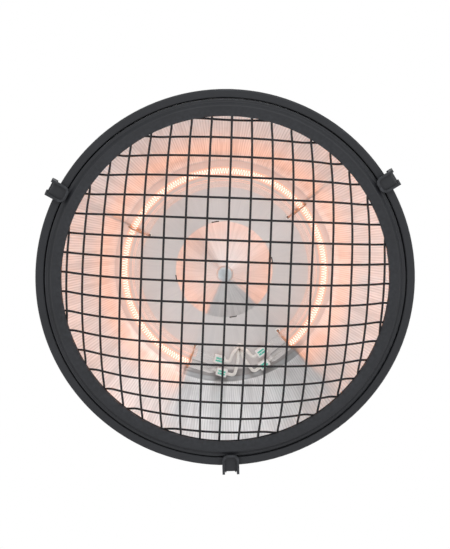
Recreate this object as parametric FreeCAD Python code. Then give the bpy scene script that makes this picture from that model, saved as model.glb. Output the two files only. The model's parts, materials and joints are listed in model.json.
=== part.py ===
import FreeCAD
import Part

import bisect
import math
import os

V = FreeCAD.Vector

# Hanging infrared patio heater. Heights are measured up from the rim plane, the plane of the mouth,
# and the finished pieces are lowered so that the hanging hole in the bail is the origin.

# Shade: one spun shell with a rim, a collar and a dome
MOUTH_R = 200.7
SHADE_WALL = 1.2
RIM_LAND = 8.1
RIM_RETURN = 6.0
RIM_FRONT = 0.5
COLLAR_SPARE = 1.5
COLLAR_STEP = 6.0
CROWN_LAND = 5.9

# Guard ring and its net
GUARD_GAP = 1.1
GUARD_FLANGE = 3.3
GUARD_SLOPE = 3.9
GUARD_LAND = 11.5
GUARD_RISE = 5.0
GUARD_SHEET = 1.2
GUARD_DEPTH = 12.8
WIRE_D = 2.4
WIRE_PITCH = 22.8
WIRE_LAP = 7.0
NET_RISE = 44.1
NET_POWER = 3.8
NET_FLARE = 5.0
NET_LIP = 1.0
NET_TURN = 2.14
NET_SHIFT_Y = -4.0
NET_STATIONS = 12
NET_SLICES = 2000
CLAMP_LAND = 7.5
CLAMP_SHEET = 1.2

# Reflector
REFLECTOR_SHEET = 0.8
REFLECTOR_LIP = 13.0
REFLECTOR_GAP = 0.7
PLATE_W = 99.5
PLATE_EDGE_R = 129.3
PLATE_LAND = 11.0
CONE_R = 57.0
CONE_NOSE_R = 8.0
CONE_NOSE_W = 60.0
NOSE_LIP = 1.7
NOSE_H = 5.0
TAB_W = 8.0
TAB_T = 1.0
TAB_RISE = 4.0
TAB_ROOM = 1.7
SEAT_LAND = 10.0
SEAT_SHEET = 1.2
SEAT_H = 28.0
PLATE_RIVETS = 8
REFLECTOR_SCREWS = 6

# Lamps: two ring tubes in one plane, open over an arc that is centred on LAMP_AXIS
LAMP_AXIS = 79.3
LAMP_CLEAR = 5.8
LAMP_INSET = 12.3
LAMP_GAP = 3.1
OUTER_END = 27.3
OUTER_RUN = 18.1
INNER_END = 25.9
INNER_RUN = 8.7
TUBE_R = 5.2
TUBE_WALL = 1.0
PINCH_TAPER = 4.0
PINCH_LENGTH = 14.0
PINCH_HALF_W = 3.7
PINCH_HALF_T = 1.6
COIL_R = 2.4
COIL_WIRE_R = 0.4
COIL_TURNS = 48
COIL_MARGIN = 3.0
COIL_STEPS = 4
END_CAP_LENGTH = 13.0
END_CAP_WALL = 1.0
END_CAP_H = 8.4
END_CAP_ROUND = 1.2
END_CAP_LAP = 7.0
LEAD_R = 1.9
LEAD_GAP = 0.3
LEAD_HOLE_INSET = 6.5
LEAD_LIFT = 0.5
LEAD_DROP = 7.0
OUTER_LEAD_RUN = 9.0
OUTER_LEAD_SWING = 11.0
OUTER_LEAD_ASIDE = 2.0
INNER_LEAD_RUN = 6.0
INNER_LEAD_SWING = 3.0
INNER_LEAD_ASIDE = 6.0
SUPPORT_WIRE_R = 0.8
SUPPORT_ANGLES = (-30.3, 31.5, 125.6, -119.0)
SUPPORT_TAIL = 6.0
SUPPORT_TIP = 1.2
SUPPORT_BEND_R = 1.8
BUSH_WALL = 0.9
BUSH_FLANGE = 0.8
BUSH_FRONT = 2.2
BUSH_BACK = 5.0
SLEEVE_R = 3.0
SLEEVE_DROP = 23.0
SLEEVE_CLIMB = 10.0

# Latches
LATCH_ANGLES = (88.3, 208.3, 328.3)
LATCH_W = 19.0
LATCH_SHEET = 1.5
LATCH_LIP_T = 2.8
LATCH_LIP_H = 2.8
LATCH_TIP_ROUND = 7.2
LATCH_BEND_R = 2.6
LATCH_REACH = 0.5
LATCH_ARM_GAP = 5.2
LATCH_PIN_R = 2.0
LATCH_EYE_R = 3.6
LATCH_EYE_CLEAR = 1.0
LATCH_EAR_T = 1.5
LATCH_WEB_GAP = 2.3
BRACKET_SHEET = 1.5
BRACKET_EDGE = 0.8
RIVET_R = 2.0
RIVET_EDGE = 1.0
RIVET_HEAD_R = 3.2
RIVET_HEAD_H = 1.3

# Neck housing, cap and gland
NECK_R = 60.0
NECK_SHEET = 1.5
GASKET_T = 2.0
GASKET_LAND = 3.5
CAP_SHEET = 1.5
CAP_GAP = 2.0
CAP_SKIRT = 14.0
CAP_SCREWS = 3
CAP_SCREW_ANGLE = 30.0
CAP_SCREW_EDGE = 1.1
NECK_SCREWS = 4
NECK_SCREW_INSET = 12.0
GROMMET_WALL = 1.8
GROMMET_LIP = 2.4
GROMMET_LIP_T = 1.8
TERMINAL_INSET = 26.0
TERMINAL_LENGTH = 40.0
TERMINAL_DEPTH = 18.0
TERMINAL_H = 16.0
TERMINAL_LIFT = 11.5
TERMINAL_FOOT_R = 3.0
TERMINAL_POLES = 3
GLAND_INSET = 23.0
GLAND_SHANK_R = 7.8
GLAND_BORE_R = 4.0
GLAND_ROOM = 1.0
GLAND_HEX = 20.0
GLAND_HEX_H = 6.0
GLAND_THREAD_H = 10.0
GLAND_NUT_H = 17.0
GLAND_NUT_WALL = 2.6
GLAND_GROOVES = 12
GLAND_SEAL_WALL = 2.4
GLAND_SEAL_H = 9.0
GLAND_LOCKNUT_H = 4.0

# Hanging bail
PIVOT_RISE = 18.0
PIVOT_SPARE = 5.0
BAIL_RISE = 100.0
BAIL_T = 3.0
BAIL_HALF_W = 10.0
BAIL_CORNER_R = 24.0
BAIL_CLEAR = 2.5
BAIL_BOLT_R = 4.0
BAIL_HOLE_R = 5.25
BAIL_HEAD = 13.0
BAIL_HEAD_H = 5.5
BAIL_NUT_H = 6.5
BAIL_WASHER_R = 8.5
BAIL_WASHER_T = 1.6

# Screws
SCREW_R = 2.0
SCREW_HEAD_R = 3.6
SCREW_HEAD_H = 2.4
SCREW_TAIL = 5.0

# Clearances
RUNNING_FIT = 0.05
HOLE_FIT = 0.1
SEAT_GAP = 0.3
SIDE_GAP = 0.3

# How far a cut runs past the face it opens, and the share of a run that a lead's arc takes up
OVERRUN = 1.0
ARC_SHARE = 0.45

# Heights and radii that follow from the sizes above
COLLAR_R = MOUTH_R + SHADE_WALL
RIM_R = COLLAR_R + RIM_LAND
SEAT_W = GUARD_DEPTH + REFLECTOR_SHEET
COLLAR_H = SEAT_W + SEAT_H + COLLAR_SPARE + SHADE_WALL
DOME_FOOT_R = COLLAR_R - COLLAR_STEP
DOME_R = DOME_FOOT_R - NECK_R - CROWN_LAND
SHADE_TOP = COLLAR_H + DOME_R
GUARD_R = MOUTH_R - GUARD_GAP
GUARD_FOOT_R = GUARD_R - GUARD_FLANGE
GUARD_FLAT_R = GUARD_FOOT_R - GUARD_SLOPE
GUARD_OPEN_R = GUARD_FLAT_R - GUARD_LAND
WIRE_R = WIRE_D / 2
LAYER_STEP = WIRE_D + SEAT_GAP
NET_FRONT_W = -GUARD_RISE + GUARD_SHEET + WIRE_R + SEAT_GAP
NET_MID_W = NET_FRONT_W + LAYER_STEP / 2
CLAMP_W = NET_FRONT_W + LAYER_STEP + WIRE_R + SEAT_GAP
REFLECTOR_R = MOUTH_R - REFLECTOR_GAP
BOWL_MOUTH_R = REFLECTOR_R - REFLECTOR_LIP
SEAT_R = MOUTH_R - SEAT_GAP
PLATE_BACK = PLATE_W + REFLECTOR_SHEET
LAMP_W = PLATE_W - LAMP_CLEAR - TUBE_R
LAMP_OUTER_R = PLATE_EDGE_R - LAMP_INSET
LAMP_INNER_R = LAMP_OUTER_R - 2 * TUBE_R - LAMP_GAP
OUTER_LAMP = (LAMP_OUTER_R, OUTER_END, OUTER_RUN)
INNER_LAMP = (LAMP_INNER_R, INNER_END, INNER_RUN)
END_CAP_W = 2 * (PINCH_HALF_W + END_CAP_WALL)
LEAD_HOLE_R = LAMP_INNER_R - LEAD_HOLE_INSET
LEAD_SPREAD = LEAD_R + LEAD_GAP / 2
BUNDLE_R = LEAD_SPREAD * math.sqrt(2) + LEAD_R
BUSH_BORE_R = BUNDLE_R + HOLE_FIT
BUSH_R = BUSH_BORE_R + BUSH_WALL
CAP_RISE = GASKET_T + CAP_SHEET
NECK_H = PIVOT_RISE + BAIL_WASHER_R + PIVOT_SPARE + CAP_SKIRT - CAP_RISE
NECK_TOP = SHADE_TOP + NECK_H
NECK_SCREW_R = NECK_R - NECK_SCREW_INSET
NECK_IN_R = NECK_R - NECK_SHEET
TERMINAL_R = NECK_R - TERMINAL_INSET
GLAND_Y = NECK_R - GLAND_INSET
GLAND_PASS_R = GLAND_BORE_R + GLAND_ROOM
CAP_UNDER = NECK_TOP + GASKET_T
CAP_TOP = CAP_UNDER + CAP_SHEET
CAP_R = NECK_R + CAP_GAP + CAP_SHEET
NECK_FLOOR = SHADE_TOP + NECK_SHEET
TERMINAL_W = NECK_FLOOR + TERMINAL_LIFT
PIVOT_W = SHADE_TOP + PIVOT_RISE
HANG_W = PIVOT_W + BAIL_RISE
BAIL_LEG_X = CAP_R + BAIL_CLEAR
BAIL_FLAT_X = BAIL_LEG_X - BAIL_CORNER_R
LATCH_PIVOT_W = RIM_FRONT + RIM_RETURN + LATCH_EYE_CLEAR + LATCH_EYE_R
BRACKET_W = SEAT_W + SEAT_H / 2
RIVET_OFFSET = SEAT_H / 2 - SEAT_SHEET - RIVET_HEAD_R - RIVET_EDGE
BRACKET_HALF_H = RIVET_OFFSET + RIVET_HEAD_R + BRACKET_EDGE
LATCH_WEB_R = RIM_R + LATCH_ARM_GAP
LATCH_LIP_R = LATCH_WEB_R + LATCH_SHEET + LATCH_LIP_H
LATCH_PIVOT_R = (LATCH_WEB_R + LATCH_LIP_R) / 2
LATCH_TIP_R = GUARD_FOOT_R + LATCH_REACH
TONGUE_TOP = -SEAT_GAP
TONGUE_FRONT = TONGUE_TOP - LATCH_SHEET
TONGUE_LIP = TONGUE_FRONT - LATCH_LIP_H

Z_AXIS = V(0, 0, 1)
ORIGIN = V(0, 0, 0)


def corner_arc(before, corner, after, radius):
    """Tangent points and middle point of the arc that rounds a corner of a flat outline."""
    into = (before - corner).normalize()
    out = (after - corner).normalize()
    half = into.getAngle(out) / 2
    reach = radius / math.tan(half)
    inward = (into + out).normalize()
    middle = corner + inward * (radius / math.sin(half) - radius)
    return corner + into * reach, middle, corner + out * reach


def outline_edges(corners, closed=True):
    """Lines and arcs through a list of (point, radius)."""
    count = len(corners)
    stretches = []
    for index, (point, radius) in enumerate(corners):
        if radius <= 0 or (not closed and index in (0, count - 1)):
            stretches.append((point, None, point))
            continue
        before = corners[index - 1][0]
        after = corners[(index + 1) % count][0]
        stretches.append(corner_arc(before, point, after, radius))
    edges = []
    for index, (start, middle, end) in enumerate(stretches):
        if middle is not None:
            edges.append(Part.Arc(start, middle, end).toShape())
        if index + 1 < count or closed:
            following = stretches[(index + 1) % count][0]
            if end.distanceToPoint(following) > 1e-6:
                edges.append(Part.makeLine(end, following))
    return edges


def lathe(profile):
    """Solid of revolution about the axis of a closed outline of (radius, height, rounding)."""
    corners = [(V(row[0], 0, row[1]), row[2] if len(row) > 2 else 0) for row in profile]
    face = Part.Face(Part.Wire(outline_edges(corners)))
    return face.revolve(ORIGIN, Z_AXIS, 360)


def sheet_outline(skin, thickness):
    """Closed outline of a sheet whose skin is given; the sheet lies to the left of the way along it."""
    ways = []
    for first, second in zip(skin, skin[1:]):
        length = math.hypot(second[0] - first[0], second[1] - first[1])
        ways.append(((second[0] - first[0]) / length, (second[1] - first[1]) / length))
    back = []
    for index, row in enumerate(skin):
        way_in = ways[max(index - 1, 0)]
        way_out = ways[min(index, len(ways) - 1)]
        share = 1 + way_in[0] * way_out[0] + way_in[1] * way_out[1]
        shift_r = -(way_in[1] + way_out[1]) / share * thickness
        shift_w = (way_in[0] + way_out[0]) / share * thickness
        rounding = row[2] if len(row) > 2 else 0
        turn = way_in[0] * way_out[1] - way_in[1] * way_out[0]
        if rounding > 0:
            rounding = max(rounding - thickness, 0) if turn > 0 else rounding + thickness
        back.append((row[0] + shift_r, row[1] + shift_w, rounding))
    return list(skin) + back[::-1]


def spun(skin, thickness):
    return lathe(sheet_outline(skin, thickness))


def ring(inner, outer, low, high):
    return lathe([(inner, low), (outer, low), (outer, high), (inner, high)])


def rod(start, end, radius):
    return Part.makeCylinder(radius, start.distanceToPoint(end), start, end - start)


def block(x0, x1, y0, y1, z0, z1):
    return Part.makeBox(x1 - x0, y1 - y0, z1 - z0, V(x0, y0, z0))


def hexagon(across_flats, height, base, axis=Z_AXIS):
    """Hexagonal prism along Z, or along X when axis is X, standing on base."""
    reach = across_flats / math.sqrt(3)
    side = V(0, 1, 0)
    up = axis.cross(side)
    points = []
    for step in range(7):
        angle = math.radians(60 * step)
        points.append(base + side * (reach * math.cos(angle)) + up * (reach * math.sin(angle)))
    return Part.Face(Part.makePolygon(points)).extrude(axis * height)


def turned(shape, angle):
    """Copy of a shape, turned about the axis of the heater."""
    copy = shape.copy()
    copy.rotate(ORIGIN, Z_AXIS, angle)
    return copy


def polar(radius, angle, height):
    return V(radius * math.cos(math.radians(angle)), radius * math.sin(math.radians(angle)), height)


def arc_from(start, way, end):
    """Edge from start to end that leaves along way: an arc, or a line where the way is straight."""
    chord = end - start
    aside = way - chord * (way.dot(chord) / chord.dot(chord))
    if aside.Length < 1e-7:
        return Part.makeLine(start, end)
    half_turn = way.getAngle(chord)
    middle = (start + end) * 0.5 + aside.normalize() * (chord.Length / 2 * math.tan(half_turn / 2))
    return Part.Arc(start, middle, end).toShape()


def biarc(start, way_in, end, way_out):
    """Two arcs that leave start along way_in and reach end along way_out."""
    chord = end - start
    total = way_in + way_out
    spread = 2 * (1 - way_in.dot(way_out))
    reach = chord.dot(total)
    if spread < 1e-9:
        length = chord.dot(chord) / (2 * reach)
    else:
        length = (math.sqrt(reach * reach + spread * chord.dot(chord)) - reach) / spread
    joint = (start + end + (way_in - way_out) * length) * 0.5
    first = arc_from(start, way_in, joint)
    second = arc_from(end, way_out * -1, joint)
    return [first, second]


def tube(edges, start, way, radius):
    """Solid round bar along a smooth chain of edges that begins at start, heading along way."""
    spine = Part.Wire(Part.__sortEdges__(edges))
    section = Part.Wire([Part.Circle(start, way, radius).toShape()])
    return spine.makePipeShell([section], True, False)


def smooth_tube(stations, radius):
    """Round bar through (point, way) stations, on biarcs."""
    edges = []
    for (start, way_in), (end, way_out) in zip(stations, stations[1:]):
        edges += biarc(start, way_in, end, way_out)
    return tube(edges, stations[0][0], stations[0][1], radius)


def lead_tube(points, radius):
    """Round bar along straight runs with tangent arcs, each as large as its two runs allow."""
    corners = [(points[0], 0)]
    for before, point, after in zip(points, points[1:], points[2:]):
        turn = (point - before).getAngle(after - point)
        shorter = min(point.distanceToPoint(before), point.distanceToPoint(after))
        corners.append((point, ARC_SHARE * shorter / math.tan(turn / 2)))
    corners.append((points[-1], 0))
    return tube(outline_edges(corners, closed=False), points[0], points[1] - points[0], radius)


def make_shade():
    under = SHADE_TOP - SHADE_WALL
    dome_in = DOME_FOOT_R - SHADE_WALL
    shelf = COLLAR_H - SHADE_WALL
    skin = [
        (0, under),
        (dome_in, under, DOME_R - SHADE_WALL),
        (dome_in, shelf, 2 * SHADE_WALL),
        (MOUTH_R, shelf, 0.8 * COLLAR_SPARE),
        (MOUTH_R, RIM_FRONT, 1.2 * SHADE_WALL),
        (RIM_R, RIM_FRONT, 1.5 * SHADE_WALL),
        (RIM_R, RIM_FRONT + RIM_RETURN),
    ]
    shade = spun(skin, SHADE_WALL)
    for hole in neck_screw_holes() + [grommet_hole()] + latch_rivet_holes():
        shade = shade.cut(hole)
    return shade


def make_guard_ring():
    skin = [
        (GUARD_OPEN_R, -GUARD_RISE),
        (GUARD_FLAT_R, -GUARD_RISE, 1.5 * GUARD_SHEET),
        (GUARD_FOOT_R, 0, GUARD_SHEET),
        (GUARD_R, 0, 1.2 * GUARD_SHEET),
        (GUARD_R, GUARD_DEPTH),
    ]
    return spun(skin, GUARD_SHEET)


class NetProfile:
    """Section of the domed net: radius, height and slope along the length of a wire through the middle."""

    def __init__(self):
        end = GUARD_OPEN_R + WIRE_LAP
        self.pace = end / NET_SLICES
        slopes = [self.slope(self.pace * (index + 0.5)) for index in range(NET_SLICES)]
        self.lengths = [0.0]
        self.drops = [0.0]
        for slope in slopes:
            self.lengths.append(self.lengths[-1] + self.pace * math.hypot(1, slope))
            self.drops.append(self.drops[-1] + self.pace * slope)
        self.reach = self.lengths[-1]

    def slope(self, radius):
        steepness = NET_RISE * NET_POWER / GUARD_OPEN_R * (radius / GUARD_OPEN_R) ** (NET_POWER - 1)
        flat_from = GUARD_OPEN_R - NET_LIP
        share = min(max((radius - flat_from + NET_FLARE) / NET_FLARE, 0), 1)
        return steepness * (1 - share * share * (3 - 2 * share))

    def at(self, length):
        index = min(bisect.bisect_right(self.lengths, length), len(self.lengths) - 1)
        part = (length - self.lengths[index - 1]) / (self.lengths[index] - self.lengths[index - 1])
        radius = self.pace * (index - 1 + part)
        drop = self.drops[index - 1] + part * (self.drops[index] - self.drops[index - 1])
        return radius, NET_MID_W - self.drops[-1] + drop, self.slope(radius)

    def point(self, across, along, side):
        """Point of a wire layer at flat net coordinates; side is -1 for the front layer, 1 for the back."""
        turn = math.radians(NET_TURN)
        flat_x = across * math.cos(turn) - along * math.sin(turn)
        flat_y = across * math.sin(turn) + along * math.cos(turn) + NET_SHIFT_Y
        length = math.hypot(flat_x, flat_y)
        radius, height, slope = self.at(length)
        lean = math.hypot(1, slope)
        radius -= side * LAYER_STEP / 2 * slope / lean
        height += side * LAYER_STEP / 2 / lean
        return V(flat_x / length * radius, flat_y / length * radius, height)


def make_net_wires(front):
    """One layer of the net; the front wires run along Y and the back wires along X."""
    net = NetProfile()
    side = -1 if front else 1
    usable = net.reach - WIRE_LAP - NET_LIP
    shift = abs(NET_SHIFT_Y)
    count = int((usable - shift) / WIRE_PITCH)
    turn = math.radians(NET_TURN)
    centre_x = NET_SHIFT_Y * math.sin(turn)
    centre_y = NET_SHIFT_Y * math.cos(turn)
    wires = []
    for index in range(-count, count + 1):
        place = index * WIRE_PITCH
        across = place + (centre_x if front else centre_y)
        half = math.sqrt(net.reach ** 2 - across ** 2)
        middle = -centre_y if front else -centre_x

        def station(share):
            along = middle - half * math.cos(math.pi * share)
            return net.point(place, along, side) if front else net.point(along, place, side)

        stations = []
        for step in range(NET_STATIONS + 1):
            share = step / NET_STATIONS
            low = station(max(share - 1e-3, 0))
            high = station(min(share + 1e-3, 1))
            stations.append((station(share), (high - low).normalize()))
        wires.append(smooth_tube(stations, WIRE_R))
    return Part.makeCompound(wires)


def make_clamp_ring():
    inner = GUARD_OPEN_R + SEAT_GAP
    return ring(inner, inner + CLAMP_LAND, CLAMP_W, CLAMP_W + CLAMP_SHEET)


def make_reflector_bowl():
    skin = [
        (PLATE_EDGE_R - PLATE_LAND, PLATE_BACK),
        (PLATE_EDGE_R, PLATE_BACK),
        (BOWL_MOUTH_R, GUARD_DEPTH, 3 * REFLECTOR_SHEET),
        (REFLECTOR_R, GUARD_DEPTH),
    ]
    bowl = spun(skin, REFLECTOR_SHEET)
    for hole in reflector_screw_holes() + plate_rivet_holes():
        bowl = bowl.cut(hole)
    return bowl


def make_reflector_plate():
    plate = ring(0, PLATE_EDGE_R - SEAT_GAP, PLATE_W, PLATE_BACK)
    cuts = plate_rivet_holes() + support_holes() + cone_tabs(SEAT_GAP, TAB_ROOM)
    cuts += [plate_rivet_head(place, HOLE_FIT) for place in plate_rivet_places()]
    cuts.append(turned(rod(V(LEAD_HOLE_R, 0, 0), V(LEAD_HOLE_R, 0, SHADE_TOP), BUSH_R + HOLE_FIT), LAMP_AXIS))
    for cut in cuts:
        plate = plate.cut(cut)
    return plate


def plate_rivet_places():
    radius = PLATE_EDGE_R - PLATE_LAND / 2
    return [polar(radius, LAMP_AXIS + 360 * (index + 0.5) / PLATE_RIVETS, 0) for index in range(PLATE_RIVETS)]


def plate_rivet_holes():
    top = V(0, 0, SHADE_TOP)
    return [rod(place, place + top, SCREW_R + HOLE_FIT) for place in plate_rivet_places()]


def plate_rivet_head(place, room=0.0):
    """Countersunk head in the plate's sheet; with room it is the hole that takes it."""
    start = place + Z_AXIS * PLATE_W
    return Part.makeCone(RIVET_HEAD_R + room, SCREW_R + room, REFLECTOR_SHEET, start, Z_AXIS)


def make_plate_rivets():
    """Rivets with heads flush in the front of the plate and tails headed behind the bowl."""
    rivets = []
    for place in plate_rivet_places():
        front = place + Z_AXIS * PLATE_W
        back = place + Z_AXIS * (PLATE_BACK + REFLECTOR_SHEET)
        tail = rod(back, back + Z_AXIS * RIVET_HEAD_H, RIVET_HEAD_R)
        rivets.append(rod(front, back, SCREW_R).fuse(plate_rivet_head(place)).fuse(tail))
    return Part.makeCompound(rivets)


def cone_tabs(room=0.0, outward=0.0):
    """Four tabs at the foot of the cone; with room they are the slots that take them, and reach outward."""
    tabs = []
    outer = CONE_R - TAB_T / 2 + outward
    inner = CONE_R - TAB_T * 1.5 - room
    for quarter in range(4):
        tab = block(inner, outer, -TAB_W / 2 - room, TAB_W / 2 + room, PLATE_W - 2 * room, PLATE_W + TAB_RISE)
        tabs.append(turned(tab, LAMP_AXIS + 90 * quarter))
    return tabs


def make_reflector_cone():
    lean = math.atan2(PLATE_W - CONE_NOSE_W, CONE_R - CONE_NOSE_R)
    wall = REFLECTOR_SHEET / math.sin(lean)
    profile = [
        (CONE_NOSE_R, CONE_NOSE_W),
        (CONE_R, PLATE_W),
        (CONE_R - wall, PLATE_W),
        (CONE_NOSE_R - wall, CONE_NOSE_W),
    ]
    cone = lathe(profile)
    for tab in cone_tabs():
        cone = cone.fuse(tab)
    return cone.removeSplitter()


def make_cone_nose():
    """Domed button that closes the tip of the cone, with a stem in the cone's hole."""
    lean = math.atan2(PLATE_W - CONE_NOSE_W, CONE_R - CONE_NOSE_R)
    stem = CONE_NOSE_R - REFLECTOR_SHEET / math.sin(lean) - SEAT_GAP
    outer = CONE_NOSE_R + NOSE_LIP
    profile = [
        (0, CONE_NOSE_W - NOSE_H),
        (outer, CONE_NOSE_W - NOSE_H, 0.8 * NOSE_H),
        (outer, CONE_NOSE_W),
        (stem, CONE_NOSE_W),
        (stem, CONE_NOSE_W + NOSE_H),
        (0, CONE_NOSE_W + NOSE_H),
    ]
    return lathe(profile)


def make_seat_ring():
    skin = [
        (SEAT_R - SEAT_LAND, SEAT_W),
        (SEAT_R, SEAT_W, 1.5 * SEAT_SHEET),
        (SEAT_R, SEAT_W + SEAT_H),
    ]
    seat = spun(skin, SEAT_SHEET)
    for hole in reflector_screw_holes() + latch_rivet_holes():
        seat = seat.cut(hole)
    return seat


def reflector_screw_places():
    radius = GUARD_R - GUARD_SHEET - SCREW_HEAD_R - SIDE_GAP
    first = LATCH_ANGLES[0] + 180 / REFLECTOR_SCREWS
    return [polar(radius, first + 360 * index / REFLECTOR_SCREWS, 0) for index in range(REFLECTOR_SCREWS)]


def reflector_screw_holes():
    top = V(0, 0, COLLAR_H)
    return [rod(place, place + top, SCREW_R + HOLE_FIT) for place in reflector_screw_places()]


def screw(head_seat, way):
    """Pan-head screw whose head sits on head_seat and whose shank runs along way."""
    tip = head_seat + way
    top = head_seat - V(way).normalize() * SCREW_HEAD_H
    return rod(head_seat, tip, SCREW_R).fuse(rod(top, head_seat, SCREW_HEAD_R))


def make_reflector_screws():
    shank = Z_AXIS * (REFLECTOR_SHEET + SEAT_SHEET + SCREW_TAIL)
    seats = [place + Z_AXIS * GUARD_DEPTH for place in reflector_screw_places()]
    return Part.makeCompound([screw(seat, shank) for seat in seats])


def ring_bar(radius, section, start, end):
    """Part of a ring bar in the lamp plane between two angles."""
    circle = Part.Circle(V(radius, 0, LAMP_W), V(0, 1, 0), section).toShape()
    bar = Part.Face(Part.Wire([circle])).revolve(ORIGIN, Z_AXIS, end - start)
    return turned(bar, start)


def lamp_end(lamp, side):
    """End of a tube's straight run and the way that it leaves, in the frame of the lamp axis."""
    radius, end, run = lamp
    angle = math.radians(side * end)
    leave = V(math.sin(angle) * side, -math.cos(angle) * side, 0)
    return polar(radius, side * end, LAMP_W) + leave * run, leave


def at_lamp_end(shape, lamp, side):
    """Copy of a shape from a tube end's own frame, where X leaves the tube and Y is across it."""
    start, leave = lamp_end(lamp, side)
    across = Z_AXIS.cross(leave)
    frame = FreeCAD.Matrix(
        leave.x, across.x, 0, start.x, leave.y, across.y, 0, start.y, 0, 0, 1, start.z, 0, 0, 0, 1)
    copy = shape.copy()
    copy.transformShape(frame, True)
    return turned(copy, LAMP_AXIS)


def oval(along, half_w, half_t):
    """Closed oval wire across a lamp end, at a distance along it."""
    ellipse = Part.Ellipse(V(along, half_w, 0), V(along, 0, half_t), V(along, 0, 0))
    return Part.Wire([ellipse.toShape()])


def make_lamp_tube(lamp):
    """Quartz ring tube with straight ends, each sealed by a flattened pinch."""
    radius, end, run = lamp
    bore = TUBE_R - TUBE_WALL
    glass = turned(ring_bar(radius, TUBE_R, end, 360 - end), LAMP_AXIS)
    hollow = turned(ring_bar(radius, bore, end, 360 - end), LAMP_AXIS)
    for side in (1, -1):
        straight = rod(V(-run, 0, 0), ORIGIN, TUBE_R)
        collar = Part.Wire([Part.Circle(ORIGIN, V(1, 0, 0), TUBE_R).toShape()])
        taper = Part.makeLoft([collar, oval(PINCH_TAPER, PINCH_HALF_W, PINCH_HALF_T)], True, True)
        flat = Part.Face(oval(PINCH_TAPER, PINCH_HALF_W, PINCH_HALF_T))
        flat = flat.extrude(V(PINCH_LENGTH - PINCH_TAPER, 0, 0))
        glass = glass.fuse(at_lamp_end(straight.fuse(taper).fuse(flat), lamp, side))
        hollow = hollow.fuse(at_lamp_end(rod(V(-run, 0, 0), ORIGIN, bore), lamp, side))
    return glass.cut(hollow)


def coil_stations(lamp):
    """Stations of a filament: straight tails on the tube's centre line and a coil between them."""
    radius, end, run = lamp
    start = end + COIL_MARGIN
    sweep = 360 - 2 * start
    pace = sweep / COIL_TURNS

    def place(angle):
        turns = (angle - start) / pace
        fade = min(max(min(turns, COIL_TURNS - turns), 0), 1)
        swell = COIL_R * fade * fade * (3 - 2 * fade)
        phase = 2 * math.pi * turns
        return polar(radius + swell * math.cos(phase), angle, LAMP_W + swell * math.sin(phase))

    angles = [end, (end + start) / 2]
    steps = COIL_TURNS * COIL_STEPS
    angles += [start + sweep * step / steps for step in range(steps + 1)]
    angles += [360 - (end + start) / 2, 360 - end]
    first, into = lamp_end(lamp, 1)
    stations = [(first, into * -1)]
    for angle in angles:
        way = place(angle + 1e-3) - place(angle - 1e-3)
        stations.append((place(angle), way.normalize()))
    stations.append(lamp_end(lamp, -1))
    return stations


def least_self_gap(stations, radius):
    """Least gap of a coil to itself between points that are over a quarter turn apart."""
    points = [station[0] for station in stations]
    apart = COIL_STEPS // 2 + 1
    least = min(
        points[first].distanceToPoint(points[second])
        for first in range(len(points))
        for second in range(first + apart, min(first + 6 * COIL_STEPS, len(points))))
    return least - 2 * radius


def make_filament(name, lamp):
    stations = coil_stations(lamp)
    print(name, "least gap to itself", round(least_self_gap(stations, COIL_WIRE_R), 2), "mm")
    return turned(smooth_tube(stations, COIL_WIRE_R), LAMP_AXIS)


def make_end_cap(lamp, side):
    """Ceramic cap on a pinch, with a pocket for it and a hole for the lead."""
    low = PINCH_LENGTH - END_CAP_LAP
    cap = block(low, low + END_CAP_LENGTH, -END_CAP_W / 2, END_CAP_W / 2, -END_CAP_H / 2, END_CAP_H / 2)
    cap = cap.makeFillet(END_CAP_ROUND, cap.Edges)
    pocket = Part.Face(oval(low - OVERRUN, PINCH_HALF_W + HOLE_FIT, PINCH_HALF_T + HOLE_FIT))
    pocket = pocket.extrude(V(END_CAP_LAP + OVERRUN + HOLE_FIT, 0, 0))
    return at_lamp_end(cap.cut(pocket), lamp, side)


def lead_route(lamp, side, outer):
    """Points of a lead from its cap to the bush, in the frame of the lamp axis."""
    start, leave = lamp_end(lamp, side)
    cap_face = PINCH_LENGTH - END_CAP_LAP + END_CAP_LENGTH
    exit_point = start + leave * cap_face
    run = OUTER_LEAD_RUN if outer else INNER_LEAD_RUN
    swing = OUTER_LEAD_SWING if outer else INNER_LEAD_SWING
    aside = OUTER_LEAD_ASIDE if outer else INNER_LEAD_ASIDE
    bend = start + leave * (cap_face + run)
    hole_x = LEAD_HOLE_R + (LEAD_SPREAD if outer else -LEAD_SPREAD)
    hole_y = side * LEAD_SPREAD
    over = V(hole_x + swing, hole_y + side * aside, LAMP_W + LEAD_LIFT)
    above = V(hole_x, hole_y, PLATE_W - LEAD_DROP)
    inside = V(hole_x, hole_y, PLATE_BACK + BUSH_BACK)
    return [exit_point, bend, over, above, inside]


def make_lead(lamp, side, outer):
    return turned(lead_tube(lead_route(lamp, side, outer), LEAD_R), LAMP_AXIS)


def make_lead_bush():
    flange = BUSH_R + BUSH_FLANGE
    profile = [
        (BUSH_BORE_R, PLATE_W - BUSH_FRONT, BUSH_WALL / 3),
        (flange, PLATE_W - BUSH_FRONT, BUSH_FLANGE / 2),
        (flange, PLATE_W),
        (BUSH_R, PLATE_W),
        (BUSH_R, PLATE_BACK + BUSH_BACK),
        (BUSH_BORE_R, PLATE_BACK + BUSH_BACK),
    ]
    bush = lathe(profile)
    bush.translate(V(LEAD_HOLE_R, 0, 0))
    return turned(bush, LAMP_AXIS)


def make_lead_sleeve():
    """Sleeve that takes the four leads from the bush to the terminal block."""
    bend = SHADE_TOP - SHADE_WALL - GROMMET_LIP_T - SLEEVE_DROP
    points = [
        V(LEAD_HOLE_R, 0, PLATE_BACK + BUSH_BACK),
        V(LEAD_HOLE_R, 0, bend - SLEEVE_CLIMB),
        V(TERMINAL_R, 0, bend),
        V(TERMINAL_R, 0, TERMINAL_W),
    ]
    return turned(lead_tube(points, SLEEVE_R), LAMP_AXIS)


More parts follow.
